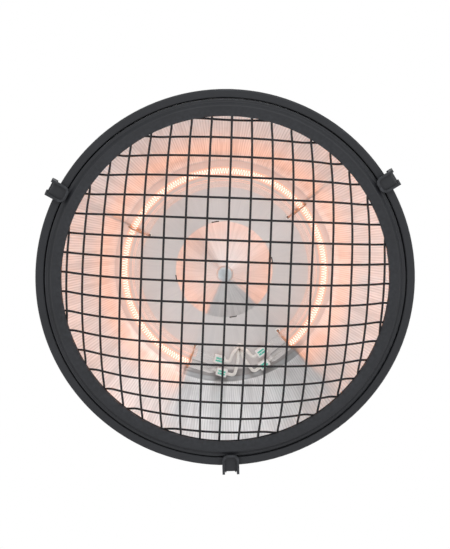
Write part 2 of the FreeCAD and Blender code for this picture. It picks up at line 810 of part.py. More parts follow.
def support_leg_r():
    return LAMP_INNER_R - TUBE_R - SEAT_GAP - SUPPORT_WIRE_R


def support_holes():
    leg = support_leg_r()
    hole = rod(V(leg, 0, 0), V(leg, 0, SHADE_TOP), SUPPORT_WIRE_R + SEAT_GAP)
    return [turned(hole, LAMP_AXIS + angle) for angle in SUPPORT_ANGLES]


def make_support(angle):
    """Bent wire that stands in the plate, passes behind both tubes and hooks round in front of them."""
    reach = TUBE_R + SEAT_GAP + SUPPORT_WIRE_R
    leg = support_leg_r()
    hook = PLATE_BACK + SEAT_GAP + SUPPORT_WIRE_R
    back = LAMP_W + reach
    front = LAMP_W - reach
    corners = [
        (V(leg - SUPPORT_TAIL, 0, hook), 0),
        (V(leg, 0, hook), SUPPORT_BEND_R),
        (V(leg, 0, back), SUPPORT_BEND_R),
        (V(LAMP_OUTER_R + reach, 0, back), reach),
        (V(LAMP_OUTER_R + reach, 0, front), reach),
        (V(LAMP_INNER_R - SUPPORT_TIP, 0, front), 0),
    ]
    edges = outline_edges(corners, closed=False)
    return turned(tube(edges, corners[0][0], V(1, 0, 0), SUPPORT_WIRE_R), LAMP_AXIS + angle)


def latch_rivet_holes():
    holes = []
    for angle in LATCH_ANGLES:
        for height in (BRACKET_W - RIVET_OFFSET, BRACKET_W + RIVET_OFFSET):
            hole = rod(V(BOWL_MOUTH_R, 0, height), V(RIM_R, 0, height), RIVET_R + HOLE_FIT)
            holes.append(turned(hole, angle))
    return holes


def make_latch_rivets():
    inner = SEAT_R - SEAT_SHEET
    outer = COLLAR_R + BRACKET_SHEET
    rivets = []
    for angle in LATCH_ANGLES:
        for height in (BRACKET_W - RIVET_OFFSET, BRACKET_W + RIVET_OFFSET):
            rivet = rod(V(inner - RIVET_HEAD_H, 0, height), V(outer + RIVET_HEAD_H, 0, height), RIVET_R)
            head = rod(V(outer, 0, height), V(outer + RIVET_HEAD_H, 0, height), RIVET_HEAD_R)
            tail = rod(V(inner - RIVET_HEAD_H, 0, height), V(inner, 0, height), RIVET_HEAD_R)
            tail = tail.cut(ring(inner - SEAT_GAP / 2, RIM_R, 0, COLLAR_H))
            rivets.append(turned(rivet.fuse(head).fuse(tail), angle))
    return Part.makeCompound(rivets)


def latch_ear_y():
    """Outer face of the bracket's ears, inside the lips of the latch."""
    return LATCH_W / 2 - LATCH_LIP_T - SIDE_GAP


def make_latch_bracket(angle):
    half = latch_ear_y()
    low = BRACKET_W - BRACKET_HALF_H
    high = BRACKET_W + BRACKET_HALF_H
    bracket = block(COLLAR_R - OVERRUN, COLLAR_R + BRACKET_SHEET, -half, half, low, high)
    for side in (1, -1):
        face = half * side
        inner = (half - LATCH_EAR_T) * side
        y0 = min(face, inner)
        corners = [
            V(COLLAR_R, y0, LATCH_PIVOT_W - LATCH_EYE_R),
            V(LATCH_PIVOT_R, y0, LATCH_PIVOT_W - LATCH_EYE_R),
            V(LATCH_PIVOT_R, y0, LATCH_PIVOT_W + LATCH_EYE_R),
            V(COLLAR_R, y0, BRACKET_W),
        ]
        ear = Part.Face(Part.makePolygon(corners + corners[:1])).extrude(V(0, LATCH_EAR_T, 0))
        eye = rod(V(LATCH_PIVOT_R, y0, LATCH_PIVOT_W), V(LATCH_PIVOT_R, y0 + LATCH_EAR_T, LATCH_PIVOT_W),
                  LATCH_EYE_R)
        bracket = bracket.fuse(ear).fuse(eye)
    bracket = bracket.cut(Part.makeCylinder(COLLAR_R + RUNNING_FIT, 2 * COLLAR_H))
    pin = latch_pin_rod(LATCH_PIN_R + RUNNING_FIT, LATCH_W)
    bracket = turned(bracket.cut(pin).removeSplitter(), angle)
    for hole in latch_rivet_holes():
        bracket = bracket.cut(hole)
    return bracket


def latch_pin_rod(radius, half):
    return rod(V(LATCH_PIVOT_R, -half, LATCH_PIVOT_W), V(LATCH_PIVOT_R, half, LATCH_PIVOT_W), radius)


def make_latch_pin(angle):
    """Plain pin held in the bracket's ears, a little shorter than the latch is wide."""
    return turned(latch_pin_rod(LATCH_PIN_R, LATCH_W / 2 - SIDE_GAP), angle)


def tongue_outline(inset, low, high, outer):
    """Prism of the tongue's outline, straight sides and a rounded tip, drawn in by inset."""
    half = LATCH_W / 2 - inset
    tip = LATCH_TIP_R + inset
    rounding = LATCH_TIP_ROUND - inset
    corners = [
        (V(tip, half, low), rounding),
        (V(tip, -half, low), rounding),
        (V(outer, -half, low), 0),
        (V(outer, half, low), 0),
    ]
    return Part.Face(Part.Wire(outline_edges(corners))).extrude(V(0, 0, high - low))


def bend_edges(shape, x, z):
    """Edges of a shape that run along Y at the given place."""
    found = []
    for edge in shape.Edges:
        ends = [vertex.Point for vertex in edge.Vertexes]
        if all(math.hypot(end.x - x, end.z - z) < RUNNING_FIT for end in ends):
            found.append(edge)
    return found


def make_latch(angle):
    """Channel with a raised lip, bent into an arm outside the rim and a tongue under the guard ring."""
    half = LATCH_W / 2
    web_top = LATCH_PIVOT_W - LATCH_EYE_R - LATCH_WEB_GAP
    latch = tongue_outline(0, TONGUE_LIP, TONGUE_TOP, LATCH_LIP_R)
    arm = block(LATCH_WEB_R, LATCH_LIP_R, -half, half, TONGUE_LIP, LATCH_PIVOT_W)
    latch = latch.fuse(arm)
    eyes = rod(V(LATCH_PIVOT_R, -half, LATCH_PIVOT_W), V(LATCH_PIVOT_R, half, LATCH_PIVOT_W), LATCH_EYE_R)
    latch = latch.fuse(eyes)
    inner = half - LATCH_LIP_T
    far = LATCH_PIVOT_W + 2 * LATCH_EYE_R
    latch = latch.cut(block(
        LATCH_WEB_R + LATCH_SHEET, LATCH_LIP_R + OVERRUN, -inner, inner, TONGUE_LIP - OVERRUN, far))
    latch = latch.cut(block(COLLAR_R, LATCH_LIP_R + LATCH_EYE_R, -inner, inner, web_top, far))
    latch = latch.cut(tongue_outline(
        LATCH_LIP_T, TONGUE_LIP - OVERRUN, TONGUE_FRONT, LATCH_LIP_R + OVERRUN))
    latch = latch.cut(latch_pin_rod(LATCH_PIN_R + RUNNING_FIT, LATCH_W)).removeSplitter()
    outer_bend = bend_edges(latch, LATCH_WEB_R + LATCH_SHEET, TONGUE_FRONT)
    latch = latch.makeFillet(LATCH_BEND_R, outer_bend)
    inner_bend = bend_edges(latch, LATCH_WEB_R, TONGUE_TOP)
    latch = latch.makeFillet(LATCH_BEND_R - LATCH_SHEET, inner_bend)
    lip_bend = bend_edges(latch, LATCH_LIP_R, TONGUE_LIP)
    latch = latch.makeFillet(LATCH_SHEET, lip_bend)
    return turned(latch, angle)


def neck_screw_places():
    step = 360 / NECK_SCREWS
    return [polar(NECK_SCREW_R, LAMP_AXIS + step * (index + 0.5), 0) for index in range(NECK_SCREWS)]


def neck_screw_holes():
    low = Z_AXIS * COLLAR_H
    high = Z_AXIS * NECK_TOP
    return [rod(place + low, place + high, SCREW_R + HOLE_FIT) for place in neck_screw_places()]


def make_neck_screws():
    shank = Z_AXIS * -(NECK_SHEET + SHADE_WALL + SCREW_TAIL)
    return Part.makeCompound([screw(place + Z_AXIS * NECK_FLOOR, shank) for place in neck_screw_places()])


def grommet_hole():
    radius = SLEEVE_R + HOLE_FIT + GROMMET_WALL + HOLE_FIT
    return turned(rod(V(TERMINAL_R, 0, COLLAR_H), V(TERMINAL_R, 0, NECK_TOP), radius), LAMP_AXIS)


def make_sleeve_grommet():
    bore = SLEEVE_R + HOLE_FIT
    neck = bore + GROMMET_WALL
    lip = neck + GROMMET_LIP
    under = SHADE_TOP - SHADE_WALL
    profile = [
        (bore, under - GROMMET_LIP_T),
        (lip, under - GROMMET_LIP_T, GROMMET_LIP_T / 3),
        (lip, under),
        (neck, under),
        (neck, NECK_FLOOR),
        (lip, NECK_FLOOR),
        (lip, NECK_FLOOR + GROMMET_LIP_T, GROMMET_LIP_T / 3),
        (bore, NECK_FLOOR + GROMMET_LIP_T),
    ]
    grommet = lathe(profile)
    grommet.translate(V(TERMINAL_R, 0, 0))
    return turned(grommet, LAMP_AXIS)


def make_neck_housing():
    skin = [
        (0, SHADE_TOP),
        (NECK_R, SHADE_TOP, 2 * NECK_SHEET),
        (NECK_R, NECK_TOP),
    ]
    housing = spun(skin, NECK_SHEET)
    for hole in neck_screw_holes() + [grommet_hole()] + cap_screw_holes():
        housing = housing.cut(hole)
    return housing.cut(bail_bolt_rod(BAIL_BOLT_R + HOLE_FIT))


def terminal_places():
    step = TERMINAL_LENGTH / (TERMINAL_POLES + 1)
    return [step * (index + 1) - TERMINAL_LENGTH / 2 for index in range(TERMINAL_POLES)]


def make_terminal_block():
    """Terminal block on two feet, with a screw well over each pole."""
    half = TERMINAL_LENGTH / 2
    near = TERMINAL_R - TERMINAL_DEPTH / 2
    far = TERMINAL_R + TERMINAL_DEPTH / 2
    body = block(near, far, -half, half, TERMINAL_W, TERMINAL_W + TERMINAL_H)
    for side in (1, -1):
        place = V(TERMINAL_R, side * (half - TERMINAL_FOOT_R), NECK_FLOOR)
        body = body.fuse(rod(place, place + Z_AXIS * TERMINAL_LIFT, TERMINAL_FOOT_R))
    for place in terminal_places():
        bottom = V(TERMINAL_R, place, TERMINAL_W + TERMINAL_H / 2)
        body = body.cut(rod(bottom, bottom + Z_AXIS * TERMINAL_H, SCREW_HEAD_R + HOLE_FIT))
    return turned(body.removeSplitter(), LAMP_AXIS)


def make_terminal_screws():
    screws = []
    for place in terminal_places():
        bottom = V(TERMINAL_R, place, TERMINAL_W + TERMINAL_H / 2)
        top = bottom + Z_AXIS * SCREW_TAIL
        head = rod(bottom, top, SCREW_HEAD_R)
        slot = block(-SCREW_HEAD_R, SCREW_HEAD_R, -SCREW_R / 4, SCREW_R / 4, -SCREW_R / 2, SCREW_R)
        slot.translate(top)
        screws.append(turned(head.cut(slot), LAMP_AXIS))
    return Part.makeCompound(screws)


def make_cap_gasket():
    return ring(NECK_R - GASKET_LAND, NECK_R, NECK_TOP, CAP_UNDER)


def make_top_cap():
    skin = [
        (CAP_R, CAP_TOP - CAP_SKIRT),
        (CAP_R, CAP_TOP, CAP_SHEET + 0.8 * CAP_GAP),
        (0, CAP_TOP),
    ]
    cap = spun(skin, CAP_SHEET)
    for hole in cap_screw_holes():
        cap = cap.cut(hole)
    return cap.cut(rod(V(0, GLAND_Y, NECK_TOP), V(0, GLAND_Y, HANG_W), GLAND_SHANK_R + HOLE_FIT))


def cap_screw_height():
    return CAP_TOP - CAP_SKIRT + SCREW_HEAD_R + CAP_SCREW_EDGE


def cap_screw_angles():
    return [CAP_SCREW_ANGLE + 360 * index / CAP_SCREWS for index in range(CAP_SCREWS)]


def cap_screw_holes():
    height = cap_screw_height()
    hole = rod(V(NECK_R / 2, 0, height), V(RIM_R, 0, height), SCREW_R + HOLE_FIT)
    return [turned(hole, angle) for angle in cap_screw_angles()]


def make_cap_screws():
    shank = V(-(CAP_SHEET + CAP_GAP + NECK_SHEET + SCREW_TAIL), 0, 0)
    one = screw(V(CAP_R, 0, cap_screw_height()), shank)
    return Part.makeCompound([turned(one, angle) for angle in cap_screw_angles()])


def gland_piece(profile):
    piece = lathe(profile)
    piece.translate(V(0, GLAND_Y, 0))
    return piece


def gland_top():
    return CAP_TOP + GLAND_HEX_H + GLAND_THREAD_H


def make_gland_body():
    """Hexagon on the cap, shank through it, and a threaded neck with a cup for the seal."""
    base = V(0, GLAND_Y, CAP_TOP)
    low = CAP_UNDER - GLAND_LOCKNUT_H - SIDE_GAP
    body = hexagon(GLAND_HEX, GLAND_HEX_H, base)
    body = body.fuse(rod(V(0, GLAND_Y, low), V(0, GLAND_Y, gland_top()), GLAND_SHANK_R))
    body = body.cut(rod(V(0, GLAND_Y, low - OVERRUN), V(0, GLAND_Y, HANG_W), GLAND_PASS_R))
    cup = GLAND_BORE_R + GLAND_SEAL_WALL + HOLE_FIT
    floor = gland_top() - GLAND_SEAL_H / 2
    return body.cut(rod(V(0, GLAND_Y, floor), V(0, GLAND_Y, HANG_W), cup)).removeSplitter()


def make_gland_seal():
    floor = gland_top() - GLAND_SEAL_H / 2
    return gland_piece([
        (GLAND_BORE_R, floor),
        (GLAND_BORE_R + GLAND_SEAL_WALL, floor),
        (GLAND_BORE_R + GLAND_SEAL_WALL, floor + GLAND_SEAL_H),
        (GLAND_BORE_R, floor + GLAND_SEAL_H),
    ])


def make_gland_nut():
    low = CAP_TOP + GLAND_HEX_H + SIDE_GAP
    high = low + GLAND_NUT_H
    inner = GLAND_SHANK_R + RUNNING_FIT
    outer = inner + GLAND_NUT_WALL
    roof = gland_top() + GLAND_SEAL_H / 2
    nut = gland_piece([
        (inner, low),
        (outer, low, GLAND_NUT_WALL / 4),
        (outer, high, 0.8 * GLAND_NUT_WALL),
        (GLAND_PASS_R, high, GLAND_NUT_WALL / 4),
        (GLAND_PASS_R, roof),
        (inner, roof),
    ])
    grip = GLAND_NUT_WALL / 3
    for index in range(GLAND_GROOVES):
        place = polar(outer + grip / 2, 360 * index / GLAND_GROOVES, 0) + V(0, GLAND_Y, 0)
        groove = rod(place + Z_AXIS * (low - OVERRUN), place + Z_AXIS * (low + GLAND_NUT_H / 2), grip)
        nut = nut.cut(groove)
    return nut


def make_gland_locknut():
    base = V(0, GLAND_Y, CAP_UNDER - GLAND_LOCKNUT_H)
    nut = hexagon(GLAND_HEX, GLAND_LOCKNUT_H, base)
    shank = rod(V(0, GLAND_Y, NECK_FLOOR), V(0, GLAND_Y, CAP_TOP), GLAND_SHANK_R + RUNNING_FIT)
    return nut.cut(shank)


def bail_bolt_rod(radius):
    reach = bail_head_x() + BAIL_HEAD_H
    return rod(V(-reach, 0, PIVOT_W), V(reach, 0, PIVOT_W), radius)


def make_bail_strap():
    """Flat strap bent into an inverted U, with an eye on each leg and the hanging hole in its crown."""
    leg = BAIL_LEG_X
    crown = HANG_W - BAIL_T / 2
    skin = [
        (leg, PIVOT_W),
        (leg, crown, BAIL_CORNER_R),
        (-leg, crown, BAIL_CORNER_R),
        (-leg, PIVOT_W),
    ]
    outline = sheet_outline(skin[::-1], BAIL_T)
    corners = [(V(row[0], -BAIL_HALF_W, row[1]), row[2] if len(row) > 2 else 0) for row in outline]
    bail = Part.Face(Part.Wire(outline_edges(corners))).extrude(V(0, 2 * BAIL_HALF_W, 0))
    for side in (1, -1):
        bail = bail.fuse(rod(V(side * leg, 0, PIVOT_W), V(side * (leg + BAIL_T), 0, PIVOT_W), BAIL_HALF_W))
    bail = bail.cut(bail_bolt_rod(BAIL_BOLT_R + RUNNING_FIT))
    bail = bail.cut(rod(V(0, 0, crown - BAIL_T), V(0, 0, crown + 2 * BAIL_T), BAIL_HOLE_R))
    return bail.removeSplitter()


def make_bail_length(strap, x0, x1):
    """The length of the strap between two planes across it."""
    reach = BAIL_HALF_W + OVERRUN
    return strap.common(block(x0, x1, -reach, reach, SHADE_TOP, HANG_W + 2 * BAIL_T))


def bail_head_x():
    return BAIL_LEG_X + BAIL_T + SIDE_GAP + BAIL_WASHER_T


def bail_nut_x():
    """Outer face of a nut whose corners touch the inside of the round housing."""
    corner = BAIL_HEAD / math.sqrt(3)
    return math.sqrt(NECK_IN_R ** 2 - corner ** 2) - RUNNING_FIT


def mirrored_pair(piece):
    """A piece on the +X side and its twin on the -X side."""
    return Part.makeCompound([piece, turned(piece, 180)])


def make_bail_bolts():
    tip = bail_nut_x() - BAIL_NUT_H - SIDE_GAP
    shank = rod(V(tip, 0, PIVOT_W), V(bail_head_x(), 0, PIVOT_W), BAIL_BOLT_R)
    head = hexagon(BAIL_HEAD, BAIL_HEAD_H, V(bail_head_x(), 0, PIVOT_W), V(1, 0, 0))
    return mirrored_pair(shank.fuse(head))


def make_bail_nuts():
    start = bail_nut_x() - BAIL_NUT_H
    nut = hexagon(BAIL_HEAD, BAIL_NUT_H, V(start, 0, PIVOT_W), V(1, 0, 0))
    return mirrored_pair(nut.cut(bail_bolt_rod(BAIL_BOLT_R + RUNNING_FIT)))


def make_bail_spacers():
    spacer = rod(V(NECK_IN_R, 0, PIVOT_W), V(BAIL_LEG_X - SIDE_GAP, 0, PIVOT_W), BAIL_WASHER_R)
    housing = Part.makeCylinder(NECK_R + RUNNING_FIT, NECK_H, V(0, 0, SHADE_TOP))
    return mirrored_pair(spacer.cut(housing).cut(bail_bolt_rod(BAIL_BOLT_R + HOLE_FIT)))


def make_bail_washers():
    start = bail_head_x() - BAIL_WASHER_T
    washer = rod(V(start, 0, PIVOT_W), V(bail_head_x(), 0, PIVOT_W), BAIL_WASHER_R)
    return mirrored_pair(washer.cut(bail_bolt_rod(BAIL_BOLT_R + HOLE_FIT)))


def build_pieces():
    strap = make_bail_strap()
    bail_end = BAIL_LEG_X + BAIL_T + OVERRUN
    pieces = {
        "bail_crown": make_bail_length(strap, -BAIL_FLAT_X, BAIL_FLAT_X),
        "bail_leg_right": make_bail_length(strap, BAIL_FLAT_X, bail_end),
        "bail_leg_left": make_bail_length(strap, -bail_end, -BAIL_FLAT_X),
        "bail_bolts": make_bail_bolts(),
        "bail_nuts": make_bail_nuts(),
        "bail_spacers": make_bail_spacers(),
        "bail_washers": make_bail_washers(),
        "shade": make_shade(),
        "seat_ring": make_seat_ring(),
        "guard_ring": make_guard_ring(),
        "guard_wires_front": make_net_wires(True),
        "guard_wires_back": make_net_wires(False),
        "guard_clamp_ring": make_clamp_ring(),
        "reflector_bowl": make_reflector_bowl(),
        "reflector_plate": make_reflector_plate(),
        "plate_rivets": make_plate_rivets(),
        "reflector_cone": make_reflector_cone(),
        "cone_nose": make_cone_nose(),
        "reflector_screws": make_reflector_screws(),
        "lead_bush": make_lead_bush(),
        "lead_sleeve": make_lead_sleeve(),
        "neck_housing": make_neck_housing(),
        "neck_screws": make_neck_screws(),
        "sleeve_grommet": make_sleeve_grommet(),
        "terminal_block": make_terminal_block(),
        "terminal_screws": make_terminal_screws(),
        "cap_gasket": make_cap_gasket(),
        "top_cap": make_top_cap(),
        "cap_screws": make_cap_screws(),
        "gland_body": make_gland_body(),
        "gland_seal": make_gland_seal(),
        "gland_nut": make_gland_nut(),
        "gland_locknut": make_gland_locknut(),
        "latch_rivets": make_latch_rivets(),
    }
    for name, lamp in (("outer", OUTER_LAMP), ("inner", INNER_LAMP)):
        pieces[f"lamp_{name}_tube"] = make_lamp_tube(lamp)
        pieces[f"lamp_{name}_filament"] = make_filament(f"lamp_{name}_filament", lamp)
        for hand, side in (("right", -1), ("left", 1)):
            pieces[f"lamp_{name}_cap_{hand}"] = make_end_cap(lamp, side)
            pieces[f"lamp_{name}_lead_{hand}"] = make_lead(lamp, side, name == "outer")
    for number, angle in enumerate(SUPPORT_ANGLES, 1):
        pieces[f"lamp_support_{number}"] = make_support(angle)
    for number, angle in enumerate(LATCH_ANGLES, 1):
        pieces[f"latch_{number}"] = make_latch(angle)
        pieces[f"latch_bracket_{number}"] = make_latch_bracket(angle)
        pieces[f"latch_pin_{number}"] = make_latch_pin(angle)
    return pieces


def main():
    os.makedirs("parts", exist_ok=True)
    for name, shape in build_pieces().items():
        shape.translate(V(0, 0, -HANG_W))
        shape.exportStep(f"parts/{name}.step")


main()
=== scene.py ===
import json
import math

import bpy
from mathutils import Matrix, Vector


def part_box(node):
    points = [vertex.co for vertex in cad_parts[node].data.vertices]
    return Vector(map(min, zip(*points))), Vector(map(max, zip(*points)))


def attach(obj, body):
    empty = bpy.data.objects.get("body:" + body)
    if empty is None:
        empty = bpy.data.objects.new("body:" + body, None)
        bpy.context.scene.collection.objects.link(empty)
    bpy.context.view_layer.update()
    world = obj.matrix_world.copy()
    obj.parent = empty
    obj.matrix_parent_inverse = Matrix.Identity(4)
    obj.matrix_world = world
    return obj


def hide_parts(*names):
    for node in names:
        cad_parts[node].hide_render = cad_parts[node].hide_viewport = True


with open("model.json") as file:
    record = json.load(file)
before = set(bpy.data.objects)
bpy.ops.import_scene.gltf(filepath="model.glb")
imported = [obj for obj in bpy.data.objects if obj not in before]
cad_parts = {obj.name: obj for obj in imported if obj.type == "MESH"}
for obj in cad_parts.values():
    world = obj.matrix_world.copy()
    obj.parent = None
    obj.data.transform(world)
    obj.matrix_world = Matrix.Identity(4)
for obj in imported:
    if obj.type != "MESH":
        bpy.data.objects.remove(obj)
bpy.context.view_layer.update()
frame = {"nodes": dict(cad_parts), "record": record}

NODES = frame["nodes"]
MM = 0.001
UP = Vector((0, 0, 1))
WHITE = (1, 1, 1, 1)

# Places that follow from the frame; the rim plane is a little in front of the shade's edge
RIM_FRONT = 0.5 * MM
RIM_CENTRE = Vector((0, 0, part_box("shade")[0].z - RIM_FRONT))
PLATE_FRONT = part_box("reflector_plate")[0].z

# Lamps: ring tubes, open at one side. LAMP_AXIS is the middle of that side and LAMP_ENDS the angle from there
# to the end of a ring, in degrees; LAMP_RUNS is the straight run from the end of the ring to the pinch
TUBE_R = 5.2 * MM
LAMP_AXIS = 79.3
LAMP_ENDS = {"outer": 27.3, "inner": 25.9}
LAMP_RUNS = {"outer": 18.1 * MM, "inner": 8.7 * MM}
HANDS = {"left": 1, "right": -1}

# Filament coils: a tail takes COIL_MARGIN degrees of the ring, with points at shares of it, and the first
# turn swells from a small share of the radius. A turn has COIL_STEPS points and its wire COIL_SIDES sides
COIL_MARGIN = 3.0
TAIL_SHARES = (0.0, 0.5)
COIL_TURNS = 205
COIL_R = {"outer": 2.52 * MM, "inner": 2.69 * MM}
COIL_WIRE_R = {"outer": 0.29 * MM, "inner": 0.12 * MM}
COIL_FIRST_SHARE = 0.02
COIL_STEPS = 14
COIL_SIDES = 6

# Sealing foils in the pinches, each with a rod that laps onto it
FOIL_START = 4.5 * MM
FOIL_LENGTH = 8 * MM
FOIL_HALF_W = 1.5 * MM
FOIL_T = 0.06 * MM
FOIL_ROD_R = 0.45 * MM
FOIL_ROD_LAP = 2 * MM

# Printed bars on the ceramic caps, sunk by as much as they stand out; rows are counted from the cap's middle
PRINT_LENGTH = 8.6 * MM
PRINT_WIDTH = 2.1 * MM
PRINT_PITCH = 3.0 * MM
PRINT_ROWS = (-0.5, 0.5)
PRINT_T = 0.03 * MM
CAP_MIDDLE = 13.5 * MM

# Eyelets where the lamp supports stand, at angles from LAMP_AXIS; the profile goes from the bore to the edge
SUPPORT_ANGLES = (-30.3, 31.5, 125.6, -119.0)
SUPPORT_LEG_INSET = 6.3 * MM
EYELET_BORE_R = 0.9 * MM
EYELET_HOLE_R = 1.5 * MM
EYELET_CREST_IN_R = 1.725 * MM
EYELET_CREST_OUT_R = 2.378 * MM
EYELET_R = 2.9 * MM
EYELET_BORE_RISE = 0.08 * MM
EYELET_EDGE_RISE = 0.44 * MM
EYELET_LIP_RISE = 0.64 * MM
EYELET_RISE = 0.8 * MM
EYELET_PROFILE = (
    (EYELET_BORE_R, 0.0), (EYELET_BORE_R, EYELET_BORE_RISE), (EYELET_HOLE_R, EYELET_BORE_RISE),
    (EYELET_HOLE_R, EYELET_LIP_RISE), (EYELET_CREST_IN_R, EYELET_RISE), (EYELET_CREST_OUT_R, EYELET_RISE),
    (EYELET_R, EYELET_EDGE_RISE), (EYELET_R, 0.0),
)
# The first rows of each eyelet's bore take a black finish: painted shade in the hole
EYELET_PAINTED_SHADE_ROWS = 3
EYELET_SIDES = 28

# Spun sheets: flutes are counted round the axis, and a streak adds up shares of flutes and of fine and broad
# lines. A bend is the radii where it starts and ends and its rise; its edge gets painted shade where plate
# and bowl meet. Painted shade at the lamps' open side is the radii where it starts and is full, and it
# reaches the half angle, in degrees, from LAMP_AXIS. A stain or painted shade takes a share of a darker tone
FLUTES = 360
PLATE_BEND = (117 * MM, 129.3 * MM, 2.9 * MM)
BOWL_BEND = (137.3 * MM, 129.3 * MM, 3.5 * MM)
PLATE_PAINTED_SHADE = (119.5 * MM, 122 * MM)
BOWL_PAINTED_SHADE = (134.2 * MM, 133.4 * MM)
PAINTED_SHADE_HALF = 33.0
PAINTED_SHADE_SOFT = 5.0
PAINTED_SHADE_TONE = 0.42
BEND_PAINTED_SHADE_SHARE = 0.3
BEND_PAINTED_SHADE_TONE = 0.76
STAIN_DULL = 0.25
STAIN_SHADE = 0.85
FINE_SHARE = 0.5
BROAD_SHARE = 0.25
FLUTE_SHARES = (0.1, 0.3)
STREAK_LOW = 0.35
STREAK_HIGH = 0.65
STREAK_STOPS = (0.36, 0.5, 0.64)
GROOVE_TURN = 0.25
GROOVE_DEPTH = 0.0015 * MM
GROOVE_SWAY = 0.015

# Powder coat: a speck adds its share to the relief, and a rubbed edge is paler
SPECK_SHARE = 0.5
RUBBED_SHADE = 3.2

# Most of a noise lies between these values, and roughness goes this far to both sides of its middle
NOISE_LOW = 0.3
NOISE_HIGH = 0.7
ROUGHNESS_SWAY = 0.08

# Light of the lit lamp: how bright the camera sees its coil, and what its tube sends on per metre of the
# light's way, which counts as CAST_NEAR at least and CAST_FAR at most
SEEN_GLOW = 1.5
CAST_GLOW = 23.5
CAST_NEAR = 5 * MM
CAST_FAR = 100 * MM
HEAT_COLOURS = [(0.25, (1.0, 0.28, 0.065)), (0.75, (1.0, 0.31, 0.08))]
COIL_COLOURS = [(0.25, (1.0, 0.92, 0.85)), (0.75, (1.0, 0.96, 0.91))]

# Quartz: the lit tube bends light less around its coil, so that the turns show. The other tube has a faint
# painted glow and painted reflection lines of the lit coil, at insets from its outer edge
QUARTZ_IOR = 1.46
COIL_IOR = 1.14
UNLIT_TRANSMISSION = 0.94
PAINTED_WARM_GLOW = 0.12
PAINTED_LINE_GLOW = 0.3
PAINTED_LINE_INSETS = (0.6 * MM, 2.6 * MM)
PAINTED_LINE_HALF = 0.6 * MM

# Rounding of sharp edges, by slot
EDGE_WIDTHS = {
    "black_coat": 0.35 * MM,
    "guard_coat": 0.35 * MM,
    "latch_coat": 0.5 * MM,
    "black_plastic": 0.4 * MM,
    "zinc_steel": 0.3 * MM,
    "ceramic": 0.2 * MM,
}
EDGE_SEGMENTS = 2
EDGE_ANGLE = 40

# Camera: looks up into the mouth from a place measured from the centre of the rim plane
CAMERA_PLACE = Vector((-21.5, -192.4, -1386.5)) * MM
CAMERA_LENS = 83.11
CAMERA_SHIFT = (-0.00107, 0.01206)

# Stage: a round floor, which the camera sees a little lifted, and the world's even light on matte surfaces
FLOOR_Z = -2.6
FLOOR_RADIUS = 14.0
FLOOR_SIDES = 96
FLOOR_LIFT = 0.3
WORLD_COLOUR = (0.94, 0.97, 1.0, 1)
WORLD_STRENGTH = 0.45


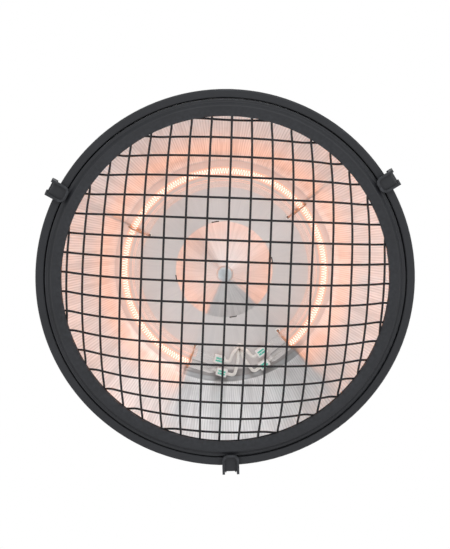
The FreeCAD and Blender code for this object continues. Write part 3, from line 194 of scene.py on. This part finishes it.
class Surface:
    """A material on one Principled shader, with short ways to add the nodes that feed it."""

    def __init__(self, name, **sockets):
        self.material = bpy.data.materials.new(name)
        self.material.use_nodes = True
        self.tree = self.material.node_tree
        self.shader = self.tree.nodes["Principled BSDF"]
        self.output = self.tree.nodes["Material Output"]
        self.set(**sockets)

    def feed(self, socket, value):
        """Links another node's output to a socket, or gives the socket a plain value."""
        if isinstance(value, bpy.types.NodeSocket):
            self.tree.links.new(value, socket)
        else:
            socket.default_value = value

    def set(self, **sockets):
        """Feeds the shader's sockets; an underscore stands for a space in a socket's name."""
        for name, value in sockets.items():
            self.feed(self.shader.inputs[name.replace("_", " ")], value)

    def node(self, kind, inputs=None, **settings):
        node = self.tree.nodes.new("ShaderNode" + kind)
        for name, value in settings.items():
            setattr(node, name, value)
        for name, value in (inputs or {}).items():
            self.feed(node.inputs[name], value)
        return node

    def place(self):
        """Position on the object in metres, in the frame at rest."""
        return self.node("TexCoord").outputs["Object"]

    def noise(self, scale, detail, vector=None):
        """Noise with about scale grains to a metre, or to a unit of the vector."""
        inputs = {"Vector": vector or self.place(), "Scale": scale, "Detail": detail}
        return self.node("TexNoise", inputs).outputs[0]

    def spread(self, value, low, high, start=0.0, end=1.0):
        """A value brought from start..end to low..high, and held there."""
        inputs = {"Value": value, "From Min": start, "From Max": end, "To Min": low, "To Max": high}
        return self.node("MapRange", inputs).outputs["Result"]

    def sway(self, noise, low, high):
        """A value that a noise moves between low and high."""
        return self.spread(noise, low, high, NOISE_LOW, NOISE_HIGH)

    def math(self, operation, first, second=0.0):
        return self.node("Math", {0: first, 1: second}, operation=operation).outputs[0]

    def vector(self, operation, first, second=(0, 0, 0)):
        return self.node("VectorMath", {0: first, 1: second}, operation=operation).outputs[0]

    def ramp(self, value, stops):
        """Colours at stops, each a position and a colour, blended in between."""
        node = self.node("ValToRGB", {"Fac": value})
        elements = node.color_ramp.elements
        halfway = 0.5
        while len(elements) < len(stops):
            elements.new(halfway)
        for element, (position, colour) in zip(elements, stops):
            element.position = position
            element.color = (*colour, 1)
        return node.outputs["Color"]

    def tones(self, noise, colour, dark, light):
        """A colour that a noise shades from dark to light."""
        return self.ramp(noise, [(NOISE_LOW, shade(colour, dark)), (NOISE_HIGH, shade(colour, light))])

    def mix(self, share, first, second):
        inputs = {"Factor": share, "A": first, "B": second}
        return self.node("Mix", inputs, data_type="RGBA").outputs["Result"]

    def bump(self, height, depth):
        return self.node("Bump", {"Height": height, "Distance": depth}).outputs["Normal"]

    def path(self, *kinds):
        """One for a ray of any of these kinds, and else nought."""
        outputs = self.node("LightPath").outputs
        found = outputs[kinds[0]]
        for kind in kinds[1:]:
            found = self.math("MAXIMUM", found, outputs[kind])
        return found

    def blend(self, share, other):
        """Mixes another shader over the Principled one."""
        mixer = self.node("MixShader", {0: share, 1: self.shader.outputs[0], 2: other.outputs[0]})
        self.feed(self.output.inputs["Surface"], mixer.outputs[0])

    def turn(self):
        """Angle about the heater's axis, in radians."""
        place = self.node("SeparateXYZ", {"Vector": self.place()})
        return self.math("ARCTAN2", place.outputs["Y"], place.outputs["X"])

    def lamp_turn(self):
        """Cosine of the angle from the middle of the lamps' open side."""
        return self.math("COSINE", self.math("SUBTRACT", self.turn(), math.radians(LAMP_AXIS)))

    def flat(self):
        """Position across the heater's axis, without its height."""
        return self.vector("MULTIPLY", self.place(), (1, 1, 0))

    def reach(self):
        """Distance from the heater's axis."""
        return self.node("VectorMath", {0: self.flat()}, operation="LENGTH").outputs["Value"]

    def around(self, along):
        """Vector that runs fast around the heater's axis and, by the share along, slowly out from it."""
        unit = self.vector("NORMALIZE", self.flat())
        return self.vector("ADD", unit, self.vector("MULTIPLY", self.place(), (along, along, along)))


def shade(colour, share):
    """A colour made darker or paler."""
    return tuple(channel * share for channel in colour)


def powder_coat(name, colour, roughness, grain=1.0):
    """Fine-textured powder coat, a little paler where an edge has been rubbed."""
    surface = Surface(name, IOR=1.45, Specular_IOR_Level=0.35)
    peel = surface.noise(scale=1100, detail=3)
    speck = surface.noise(scale=3200, detail=1)
    coat = surface.tones(surface.noise(scale=22, detail=4), colour, dark=0.86, light=1.12)
    pointed = surface.node("NewGeometry").outputs["Pointiness"]
    edge = surface.spread(pointed, low=0.0, high=0.45, start=0.515, end=0.6)
    patches = surface.spread(surface.noise(scale=260, detail=4), 0.0, 1.0, start=0.4, end=0.65)
    rubbed = surface.math("MULTIPLY", edge, patches)
    relief = surface.math("ADD", peel, surface.math("MULTIPLY", speck, SPECK_SHARE))
    surface.set(
        Base_Color=surface.mix(rubbed, coat, (*shade(colour, RUBBED_SHADE), 1)),
        Roughness=surface.sway(peel, roughness - ROUGHNESS_SWAY, roughness + ROUGHNESS_SWAY),
        Normal=surface.bump(relief, depth=0.06 * MM * grain),
    )
    return surface.material


def spun_aluminium(name, colour, roughness, streak_depth, bend=None, painted_dark_side=None):
    """Bright spun sheet: its grooves run round the axis and draw each reflection out along the radius.

    A bend turns its edge up softly, and there it gets a little painted shade where plate and bowl meet. With
    the dark side given, the sheet has painted shade at the lamps' open side, where their light doesn't reach
    its edge.
    """
    surface = Surface(name, Metallic=1.0, Anisotropic=1.0, Anisotropic_Rotation=GROOVE_TURN)
    wave = surface.math("SINE", surface.math("MULTIPLY", surface.turn(), FLUTES))
    flutes = surface.spread(wave, 0.0, 1.0, start=-1.0, end=1.0)
    fine = surface.noise(scale=150, detail=2, vector=surface.around(along=0.25))
    broad = surface.noise(scale=16, detail=3, vector=surface.around(along=0.5))
    fine_part = surface.math("MULTIPLY", fine, FINE_SHARE)
    broad_part = surface.math("MULTIPLY", broad, BROAD_SHARE)
    flute_share = surface.spread(broad, *FLUTE_SHARES, STREAK_LOW, STREAK_HIGH)
    flute_part = surface.math("MULTIPLY", flutes, flute_share)
    streak = surface.math("ADD", surface.math("ADD", fine_part, broad_part), flute_part)
    tones = (shade(colour, 1 - streak_depth), colour, shade(colour, 1 + streak_depth / 2))
    metal = surface.ramp(streak, list(zip(STREAK_STOPS, tones)))
    stain = surface.spread(surface.noise(scale=14, detail=4), 0.0, STAIN_DULL, start=0.5, end=0.75)
    metal = surface.mix(stain, metal, (*shade(colour, STAIN_SHADE), 1))
    normal = surface.bump(fine, depth=GROOVE_DEPTH)
    if bend:
        bend_start, bend_end, rise = bend
        share = surface.spread(surface.reach(), 0.0, 1.0, bend_start, bend_end)
        curl = surface.math("MULTIPLY", share, share)
        # Painted shade: the bend's edge is darkened where plate and bowl meet
        bend_painted_shade = surface.math("MULTIPLY", curl, BEND_PAINTED_SHADE_SHARE)
        metal = surface.mix(bend_painted_shade, metal, (*shade(colour, BEND_PAINTED_SHADE_TONE), 1))
        normal = surface.node("Bump", {"Height": curl, "Distance": rise, "Normal": normal}).outputs["Normal"]
    # Painted shade: darker near the edge at the lamps' open side, where their light doesn't reach
    if painted_dark_side:
        sides = [math.cos(math.radians(PAINTED_SHADE_HALF + way * PAINTED_SHADE_SOFT)) for way in (1, -1)]
        open_side = surface.spread(surface.lamp_turn(), 0.0, 1.0, *sides)
        outside = surface.spread(surface.reach(), 0.0, 1.0, *painted_dark_side)
        painted_dark = surface.math("MULTIPLY", open_side, outside)
        metal = surface.mix(painted_dark, metal, (*shade(colour, PAINTED_SHADE_TONE), 1))
    smoothest = roughness - GROOVE_SWAY
    roughest = roughness + GROOVE_SWAY
    surface.set(
        Base_Color=metal,
        Roughness=surface.spread(streak, smoothest, roughest, STREAK_LOW, STREAK_HIGH),
        Tangent=surface.node("Tangent", direction_type="RADIAL", axis="Z").outputs["Tangent"],
        Normal=normal,
    )
    return surface.material


def plain_metal(name, colour, roughness):
    """Plated or drawn metal with fine scratches and a slightly uneven tone."""
    surface = Surface(name, Metallic=1.0)
    drawn_out = surface.vector("MULTIPLY", surface.place(), (1, 1, 0.15))
    scratches = surface.noise(scale=900, detail=3, vector=drawn_out)
    smoothest = roughness - 0.1
    roughest = roughness + 0.12
    surface.set(
        Base_Color=surface.tones(surface.noise(scale=120, detail=3), colour, dark=0.8, light=1.1),
        Roughness=surface.sway(scratches, smoothest, roughest),
        Normal=surface.bump(scratches, depth=0.01 * MM),
    )
    return surface.material


def quartz_glass(name, colour, lamp, lit):
    """Clear quartz with faint drawing lines; what the reflector mirrors is seen straight through it."""
    surface = Surface(name, Roughness=0.0, Transmission_Weight=1.0 if lit else UNLIT_TRANSMISSION)
    drawing = surface.noise(scale=420, detail=2, vector=surface.around(along=2.0))
    film = surface.noise(scale=60, detail=4)
    coil_end = math.cos(math.radians(LAMP_ENDS[lamp] + COIL_MARGIN))
    coiled = surface.math("LESS_THAN", surface.lamp_turn(), coil_end)
    heat = surface.ramp(surface.noise(scale=70, detail=3), HEAT_COLOURS)
    surface.set(
        Base_Color=surface.ramp(film, [(0.3, colour), (0.75, shade(colour, 0.95))]),
        IOR=surface.spread(coiled, QUARTZ_IOR, COIL_IOR if lit else QUARTZ_IOR),
        Normal=surface.bump(drawing, depth=0.002 * MM),
        Emission_Color=heat,
    )
    clear = surface.node("BsdfTransparent")
    if lit:
        clear = send_light(surface, heat, coiled, clear)
    else:
        # An unlit tube gets a painted glow and painted reflection lines
        paint_caught_glow(surface, lamp, coiled)
    surface.blend(surface.path("Is Shadow Ray", "Is Glossy Ray"), clear)
    return surface.material


def send_light(surface, heat, coiled, clear):
    """Sends the coil's light on from a lit tube, and gives back the clear shader with that light in it.

    The light is held even within the reflector, because a lit coil is far brighter than a picture can show.
    """
    way = surface.node("LightFalloff", {"Strength": 1.0}).outputs["Linear"]
    even = surface.math("MINIMUM", surface.math("MAXIMUM", way, CAST_NEAR), CAST_FAR)
    cast = surface.math("MULTIPLY", surface.math("MULTIPLY", even, CAST_GLOW), coiled)
    unseen = surface.math("SUBTRACT", 1.0, surface.path("Is Camera Ray", "Is Transmission Ray"))
    surface.set(Emission_Strength=surface.math("MULTIPLY", cast, unseen))
    sent = surface.node("Emission", {"Color": heat, "Strength": cast})
    return surface.node("AddShader", {0: clear.outputs[0], 1: sent.outputs[0]})


def paint_caught_glow(surface, lamp, coiled):
    """Paints a faint warm glow on an unlit tube along its coil, and painted reflection lines of the lit coil.
    """
    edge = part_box(f"lamp_{lamp}_tube")[1].x
    glow = PAINTED_WARM_GLOW
    for inset in PAINTED_LINE_INSETS:
        apart = surface.math("ABSOLUTE", surface.math("SUBTRACT", surface.reach(), edge - inset))
        line = surface.spread(apart, PAINTED_LINE_GLOW, 0.0, start=0.0, end=PAINTED_LINE_HALF)
        glow = surface.math("ADD", line, glow)
    surface.set(Emission_Strength=surface.math("MULTIPLY", coiled, glow))
    surface.material.cycles.emission_sampling = "NONE"


def filament_wire(name, colour, glow=0.0):
    """Coiled resistance wire; glow is its brightness seen directly or through its tube, with its turns."""
    surface = Surface(name, Metallic=1.0)
    oxide = surface.noise(scale=900, detail=3)
    surface.set(
        Base_Color=surface.tones(oxide, colour, dark=0.8, light=1.1),
        Roughness=surface.sway(oxide, low=0.32, high=0.5),
        Normal=surface.bump(oxide, depth=0.01 * MM),
    )
    if glow > 0:
        depths = surface.node("LightPath").outputs
        bounces = surface.math("ADD", depths["Glossy Depth"], depths["Diffuse Depth"])
        direct = surface.math("LESS_THAN", bounces, 1.0)
        through = surface.math("MULTIPLY", surface.path("Is Transmission Ray"), direct)
        seen = surface.math("MAXIMUM", surface.path("Is Camera Ray"), through)
        surface.set(
            Emission_Color=surface.ramp(surface.noise(scale=70, detail=3), COIL_COLOURS),
            Emission_Strength=surface.math("MULTIPLY", seen, glow),
        )
        surface.material.cycles.emission_sampling = "NONE"
    return surface.material


def ceramic(name, colour):
    """Unglazed white ceramic with a fine bite and a few grey marks."""
    surface = Surface(name, IOR=1.5)
    bite = surface.noise(scale=1500, detail=4)
    marks = surface.noise(scale=190, detail=4)
    stops = [(0.28, shade(colour, 0.82)), (0.45, colour), (0.8, shade(colour, 1.06))]
    surface.set(
        Base_Color=surface.ramp(marks, stops),
        Roughness=surface.sway(bite, low=0.5, high=0.75),
        Normal=surface.bump(bite, depth=0.05 * MM),
    )
    return surface.material


def printed_ink():
    """Worn green print, without words."""
    surface = Surface("green_print", IOR=1.45)
    worn = surface.noise(scale=900, detail=4)
    stops = [(0.36, (0.45, 0.76, 0.66)), (0.5, (0.09, 0.58, 0.42)), (0.8, (0.06, 0.52, 0.36))]
    surface.set(
        Base_Color=surface.ramp(worn, stops),
        Roughness=surface.sway(worn, low=0.4, high=0.65),
    )
    return surface.material


def sleeving():
    """Braided glass-fibre sleeving, cream, with a fine crossing lay."""
    surface = Surface("lead_sleeving", IOR=1.45)
    place = surface.place()
    lays = []
    for vector in (place, surface.vector("MULTIPLY", place, (-1, 1, 1))):
        inputs = {"Vector": vector, "Scale": 420.0, "Distortion": 1.5}
        lays.append(surface.node("TexWave", inputs, bands_direction="DIAGONAL").outputs["Fac"])
    braid = surface.math("MAXIMUM", *lays)
    cream = surface.ramp(braid, [(0.1, (0.82, 0.76, 0.71)), (0.8, (0.94, 0.89, 0.84))])
    soiled = (0.72, 0.66, 0.61, 1)
    dirt = surface.spread(surface.noise(scale=150, detail=3), 0.0, 0.5, start=0.5, end=0.8)
    surface.set(
        Base_Color=surface.mix(dirt, cream, soiled),
        Roughness=surface.spread(braid, low=0.8, high=0.62),
        Normal=surface.bump(braid, depth=0.12 * MM),
    )
    return surface.material


def moulded(name, colour, roughness):
    """Moulded plastic or rubber with a fine spark-eroded grain."""
    surface = Surface(name, IOR=1.48)
    grain = surface.noise(scale=1800, detail=3)
    surface.set(
        Base_Color=surface.tones(surface.noise(scale=60, detail=3), colour, dark=0.8, light=1.25),
        Roughness=surface.sway(grain, roughness - ROUGHNESS_SWAY, roughness + ROUGHNESS_SWAY),
        Normal=surface.bump(grain, depth=0.04 * MM),
    )
    return surface.material


def floor_paint():
    """Plain pale floor, lifted a little for the camera, and white where metal or glass shows it."""
    surface = Surface("floor", IOR=1.45, Emission_Color=WHITE)
    cloud = surface.noise(scale=1.4, detail=5)
    surface.set(
        Base_Color=surface.ramp(cloud, [(NOISE_LOW, (0.86, 0.86, 0.86)), (NOISE_HIGH, (0.90, 0.90, 0.90))]),
        Roughness=surface.sway(cloud, low=0.6, high=0.75),
        Emission_Strength=surface.math("MULTIPLY", surface.path("Is Camera Ray"), FLOOR_LIFT),
    )
    surface.material.cycles.emission_sampling = "NONE"
    white = surface.node("Emission", {"Color": WHITE, "Strength": 1.0})
    surface.blend(surface.path("Is Glossy Ray", "Is Transmission Ray"), white)
    return surface.material


def make_materials():
    """One material for each slot of the record."""
    return {
        "black_coat": powder_coat("black_coat", (0.020, 0.021, 0.024), roughness=0.58),
        "guard_coat": powder_coat("guard_coat", (0.018, 0.019, 0.022), roughness=0.5),
        "wire_coat": powder_coat("wire_coat", (0.010, 0.010, 0.012), roughness=0.5, grain=0.5),
        "latch_coat": powder_coat("latch_coat", (0.021, 0.022, 0.025), roughness=0.55),
        "zinc_steel": plain_metal("zinc_steel", (0.55, 0.55, 0.57), roughness=0.38),
        "reflector": spun_aluminium(
            "reflector", (0.84, 0.84, 0.845), roughness=0.29, streak_depth=0.16, bend=BOWL_BEND,
            painted_dark_side=BOWL_PAINTED_SHADE),
        "bright_aluminium": plain_metal("bright_aluminium", (0.56, 0.59, 0.61), roughness=0.4),
        "quartz": quartz_glass("quartz", (0.97, 0.97, 0.97), "inner", lit=False),
        "filament": filament_wire("filament", (0.78, 0.74, 0.70)),
        "ceramic": ceramic("ceramic", (0.93, 0.91, 0.88)),
        "lead_sleeving": sleeving(),
        "support_wire": plain_metal("support_wire", (0.52, 0.33, 0.23), roughness=0.45),
        "black_plastic": moulded("black_plastic", (0.02, 0.02, 0.022), roughness=0.5),
        "black_rubber": moulded("black_rubber", (0.014, 0.014, 0.015), roughness=0.7),
        "brass": plain_metal("brass", (0.72, 0.55, 0.26), roughness=0.35),
    }


def make_own_materials():
    """Finishes of nodes that differ from the rest of their slot."""
    plate = spun_aluminium(
        "reflector_plate", (0.745, 0.695, 0.68), roughness=0.36, streak_depth=0.05, bend=PLATE_BEND,
        painted_dark_side=PLATE_PAINTED_SHADE)
    return {
        "reflector_plate": plate,
        "plate_rivets": plate,
        "reflector_cone": spun_aluminium(
            "reflector_cone", (0.80, 0.77, 0.762), roughness=0.31, streak_depth=0.14),
        "lamp_outer_tube": quartz_glass("quartz_lit", (0.83, 0.83, 0.82), "outer", lit=True),
    }


def dress_nodes(materials):
    """Gives every CAD node its slot's material, or its own finish of that slot, and softens sharp edges."""
    own = make_own_materials()
    for row in frame["record"]["subparts"]:
        node = NODES[row["node"]]
        slot = row["material_slot"]
        material = own.get(row["node"], materials[slot])
        if not node.material_slots:
            node.data.materials.append(material)
        for holder in node.material_slots:
            holder.link = "OBJECT"
            holder.material = material
        if slot in EDGE_WIDTHS:
            soften(node, EDGE_WIDTHS[slot])


def soften(node, width):
    """Rounds a node's sharp edges with a modifier."""
    bevel = node.modifiers.new("edges", "BEVEL")
    bevel.width = width
    bevel.segments = EDGE_SEGMENTS
    bevel.limit_method = "ANGLE"
    bevel.angle_limit = math.radians(EDGE_ANGLE)
    bevel.harden_normals = True


def new_piece(name, points, faces, material, smooth=True):
    """A mesh that rides on the heater, with the material it is given."""
    mesh = bpy.data.meshes.new(name)
    mesh.from_pydata(points, [], faces)
    mesh.update()
    mesh.polygons.foreach_set("use_smooth", [smooth] * len(mesh.polygons))
    mesh.materials.append(material)
    piece = bpy.data.objects.new(name, mesh)
    bpy.context.scene.collection.objects.link(piece)
    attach(piece, "heater")
    return piece


def polar(radius, degrees, height):
    """Point at a radius and an angle about the axis."""
    angle = math.radians(degrees)
    return Vector((radius * math.cos(angle), radius * math.sin(angle), height))


def shifted(faces, count):
    """Faces whose points come after a count of other points."""
    return [tuple(index + count for index in face) for face in faces]


def swept(points, hubs, radius, sides):
    """Points and faces of a round wire along a line; each section starts on the side away from its hub."""
    ring_points = []
    for index, point in enumerate(points):
        before = points[max(index - 1, 0)]
        after = points[min(index + 1, len(points) - 1)]
        way = (after - before).normalized()
        out = point - hubs[index]
        out = (out - way * out.dot(way)).normalized()
        side = way.cross(out)
        for step in range(sides):
            angle = 2 * math.pi * step / sides
            ring_points.append(point + (out * math.cos(angle) + side * math.sin(angle)) * radius)
    faces = []
    for ring in range(len(points) - 1):
        for step in range(sides):
            following = (step + 1) % sides
            first = ring * sides
            second = first + sides
            faces.append((first + step, first + following, second + following, second + step))
    last = (len(points) - 1) * sides
    faces.append(tuple(range(sides))[::-1])
    faces.append(tuple(range(last, last + sides)))
    return ring_points, faces


def slab(corner, way_x, way_y, way_z):
    """Points and faces of a block given by a corner and its three edges."""
    points = [corner + way_x * x + way_y * y + way_z * z for z in (0, 1) for y in (0, 1) for x in (0, 1)]
    faces = [(0, 2, 3, 1), (4, 5, 7, 6), (0, 1, 5, 4), (2, 6, 7, 3), (0, 4, 6, 2), (1, 3, 7, 5)]
    return points, faces


def lamp_ring(name):
    """Radius and height of a lamp's centre line."""
    low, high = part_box(f"lamp_{name}_tube")
    return -low.x - TUBE_R, (low.z + high.z) / 2


def end_frame(name, side):
    """Start of a pinch and the way it points, with the way across it."""
    radius, height = lamp_ring(name)
    degrees = LAMP_AXIS + side * LAMP_ENDS[name]
    across = polar(1, degrees, 0)
    leave = Vector((across.y, -across.x, 0)) * side
    start = polar(radius, degrees, height) + leave * LAMP_RUNS[name]
    return start, leave, across


def coil_tail(name, side):
    """Points of a coil's tail, from the pinch towards the first turn."""
    radius, height = lamp_ring(name)
    points = [end_frame(name, side)[0]]
    for share in TAIL_SHARES:
        from_axis = LAMP_ENDS[name] + COIL_MARGIN * share
        points.append(polar(radius, LAMP_AXIS + side * from_axis, height))
    return points


def make_coil(name, material, tail_material):
    """Fine filament coil on the centre line of a lamp, with straight tails into the pinches."""
    radius, height = lamp_ring(name)
    start = LAMP_ENDS[name] + COIL_MARGIN
    sweep = 360 - 2 * start
    steps = COIL_TURNS * COIL_STEPS
    first_tail = coil_tail(name, HANDS["left"])
    last_tail = coil_tail(name, HANDS["right"])[::-1]
    below = UP * COIL_R[name]
    points = list(first_tail)
    hubs = [point - below for point in first_tail]
    for step in range(steps + 1):
        turn = step / COIL_STEPS
        fade = min(turn, COIL_TURNS - turn, 1.0)
        swell = COIL_R[name] * (COIL_FIRST_SHARE + (1 - COIL_FIRST_SHARE) * fade)
        phase = 2 * math.pi * turn
        degrees = LAMP_AXIS + start + sweep * step / steps
        points.append(polar(radius + swell * math.sin(phase), degrees, height + swell * math.cos(phase)))
        hubs.append(polar(radius, degrees, height))
    points += last_tail
    hubs += [point - below for point in last_tail]
    wire_points, faces = swept(points, hubs, COIL_WIRE_R[name], COIL_SIDES)
    piece = new_piece(f"lamp_{name}_coil", wire_points, faces, material)
    piece.data.materials.append(tail_material)
    last_turn = len(points) - 1 - len(last_tail)
    for face in piece.data.polygons:
        ring = face.index // COIL_SIDES
        if ring < len(first_tail) or ring >= last_turn:
            face.material_index = 1
    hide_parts(f"lamp_{name}_filament")


def make_foils(material):
    """Sealing foils inside the pinches, each with a short rod to the coil's tail."""
    for name in LAMP_ENDS:
        for hand, side in HANDS.items():
            start, leave, across = end_frame(name, side)
            corner = start + leave * FOIL_START - across * FOIL_HALF_W - UP * (FOIL_T / 2)
            points, faces = slab(corner, leave * FOIL_LENGTH, across * (2 * FOIL_HALF_W), UP * FOIL_T)
            stops = (0.0, FOIL_START / 2, FOIL_START + FOIL_ROD_LAP)
            rod_line = [start + leave * stop for stop in stops]
            rod_hubs = [point - UP for point in rod_line]
            rod_points, rod_faces = swept(rod_line, rod_hubs, FOIL_ROD_R, COIL_SIDES)
            faces += shifted(rod_faces, len(points))
            points += rod_points
            new_piece(f"lamp_{name}_foil_{hand}", points, faces, material, smooth=False)


def make_prints(material):
    """Two printed bars on the front of each ceramic cap."""
    for name in LAMP_ENDS:
        for hand, side in HANDS.items():
            start, leave, across = end_frame(name, side)
            middle = start + leave * CAP_MIDDLE
            middle.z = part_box(f"lamp_{name}_cap_{hand}")[0].z - PRINT_T
            points, faces = [], []
            for row in PRINT_ROWS:
                inner_edge = row * PRINT_PITCH - PRINT_WIDTH / 2
                corner = middle - leave * (PRINT_LENGTH / 2) + across * inner_edge
                bar = slab(corner, leave * PRINT_LENGTH, across * PRINT_WIDTH, UP * (2 * PRINT_T))
                faces += shifted(bar[1], len(points))
                points += bar[0]
            new_piece(f"lamp_{name}_print_{hand}", points, faces, material, smooth=False)


def make_eyelets(material, painted_shade_material):
    """Pressed eyelets in the plate where the lamp supports stand, with painted shade inside the bore."""
    radius = lamp_ring("inner")[0] - SUPPORT_LEG_INSET
    rows = len(EYELET_PROFILE)
    faces = []
    for step in range(EYELET_SIDES):
        here = step * rows
        following = (step + 1) % EYELET_SIDES * rows
        for row in range(rows):
            above = (row + 1) % rows
            faces.append((here + row, here + above, following + above, following + row))
    for number, angle in enumerate(SUPPORT_ANGLES, 1):
        centre = polar(radius, LAMP_AXIS + angle, PLATE_FRONT)
        points = []
        for step in range(EYELET_SIDES):
            degrees = 360 * step / EYELET_SIDES
            points += [centre + polar(reach, degrees, -rise) for reach, rise in EYELET_PROFILE]
        piece = new_piece(f"support_eyelet_{number}", points, faces, material)
        # The bore rows take the black finish, painted shade in the hole
        piece.data.materials.append(painted_shade_material)
        for face in piece.data.polygons:
            if face.index % rows < EYELET_PAINTED_SHADE_ROWS:
                face.material_index = 1


def make_camera():
    """Camera at the photograph's viewing angle, upright along the heater's Y axis."""
    data = bpy.data.cameras.new("camera")
    data.lens = CAMERA_LENS
    data.shift_x, data.shift_y = CAMERA_SHIFT
    camera = bpy.data.objects.new("camera", data)
    forward = -CAMERA_PLACE.normalized()
    right = Vector((1, 0, 0)) - forward * forward.x
    right.normalize()
    up = right.cross(forward)
    basis = Matrix((right, up, -forward)).transposed().to_4x4()
    basis.translation = RIM_CENTRE + CAMERA_PLACE
    camera.matrix_world = basis
    bpy.context.scene.collection.objects.link(camera)
    bpy.context.scene.camera = camera


def area_light(name, place, size, power, colour=(1, 1, 1), mirrored=True):
    """Soft square light that faces the rim; metal and glass show it only if it is mirrored."""
    data = bpy.data.lights.new(name, "AREA")
    data.size = size
    data.energy = power
    data.color = colour
    light = bpy.data.objects.new(name, data)
    light.visible_glossy = mirrored
    light.visible_transmission = mirrored
    light.location = place
    light.rotation_euler = (RIM_CENTRE - light.location).to_track_quat("-Z", "Y").to_euler()
    bpy.context.scene.collection.objects.link(light)


def make_world():
    """White for the camera, for gloss and through glass, and an even grey for the light on matte surfaces."""
    world = bpy.data.worlds.new("studio")
    world.use_nodes = True
    tree = world.node_tree
    white = tree.nodes["Background"]
    white.inputs["Color"].default_value = WHITE
    soft = tree.nodes.new("ShaderNodeBackground")
    soft.inputs["Color"].default_value = WORLD_COLOUR
    soft.inputs["Strength"].default_value = WORLD_STRENGTH
    path = tree.nodes.new("ShaderNodeLightPath")
    seen = path.outputs["Is Camera Ray"]
    for name in ("Is Glossy Ray", "Is Transmission Ray"):
        either = tree.nodes.new("ShaderNodeMath")
        either.operation = "MAXIMUM"
        tree.links.new(seen, either.inputs[0])
        tree.links.new(path.outputs[name], either.inputs[1])
        seen = either.outputs[0]
    blend = tree.nodes.new("ShaderNodeMixShader")
    tree.links.new(seen, blend.inputs["Fac"])
    tree.links.new(soft.outputs[0], blend.inputs[1])
    tree.links.new(white.outputs[0], blend.inputs[2])
    tree.links.new(blend.outputs[0], tree.nodes["World Output"].inputs["Surface"])
    bpy.context.scene.world = world


def make_floor():
    """Round floor far below the heater."""
    mesh = bpy.data.meshes.new("floor")
    edge = [polar(FLOOR_RADIUS, 360 * step / FLOOR_SIDES, FLOOR_Z) for step in range(FLOOR_SIDES)]
    mesh.from_pydata(edge, [], [range(FLOOR_SIDES)])
    mesh.materials.append(floor_paint())
    floor = bpy.data.objects.new("floor", mesh)
    bpy.context.scene.collection.objects.link(floor)


def make_lights():
    """Soft studio lights, with places and sizes in metres and powers in watts."""
    area_light("key", place=(0.5, -1.6, -1.5), size=3.4, power=42, colour=(0.97, 0.98, 1.0))
    area_light("fill_right", place=(1.8, 0.5, -1.3), size=2.9, power=11)
    area_light("fill_left", place=(-1.8, 0.3, -1.3), size=2.65, power=15)
    area_light("top", place=(-0.8, -1.2, 1.6), size=1.6, power=45, mirrored=False)


def main():
    """Dresses the CAD nodes, adds the fine pieces and sets the stage."""
    materials = make_materials()
    dress_nodes(materials)
    lit_filament = filament_wire("filament_lit", (0.16, 0.14, 0.12), SEEN_GLOW)
    make_coil("outer", lit_filament, materials["filament"])
    make_coil("inner", materials["filament"], materials["filament"])
    make_foils(materials["filament"])
    make_prints(printed_ink())
    make_eyelets(materials["ceramic"], materials["black_rubber"])
    make_world()
    make_floor()
    make_lights()
    make_camera()
    bpy.context.scene.view_settings.view_transform = "Standard"


main()
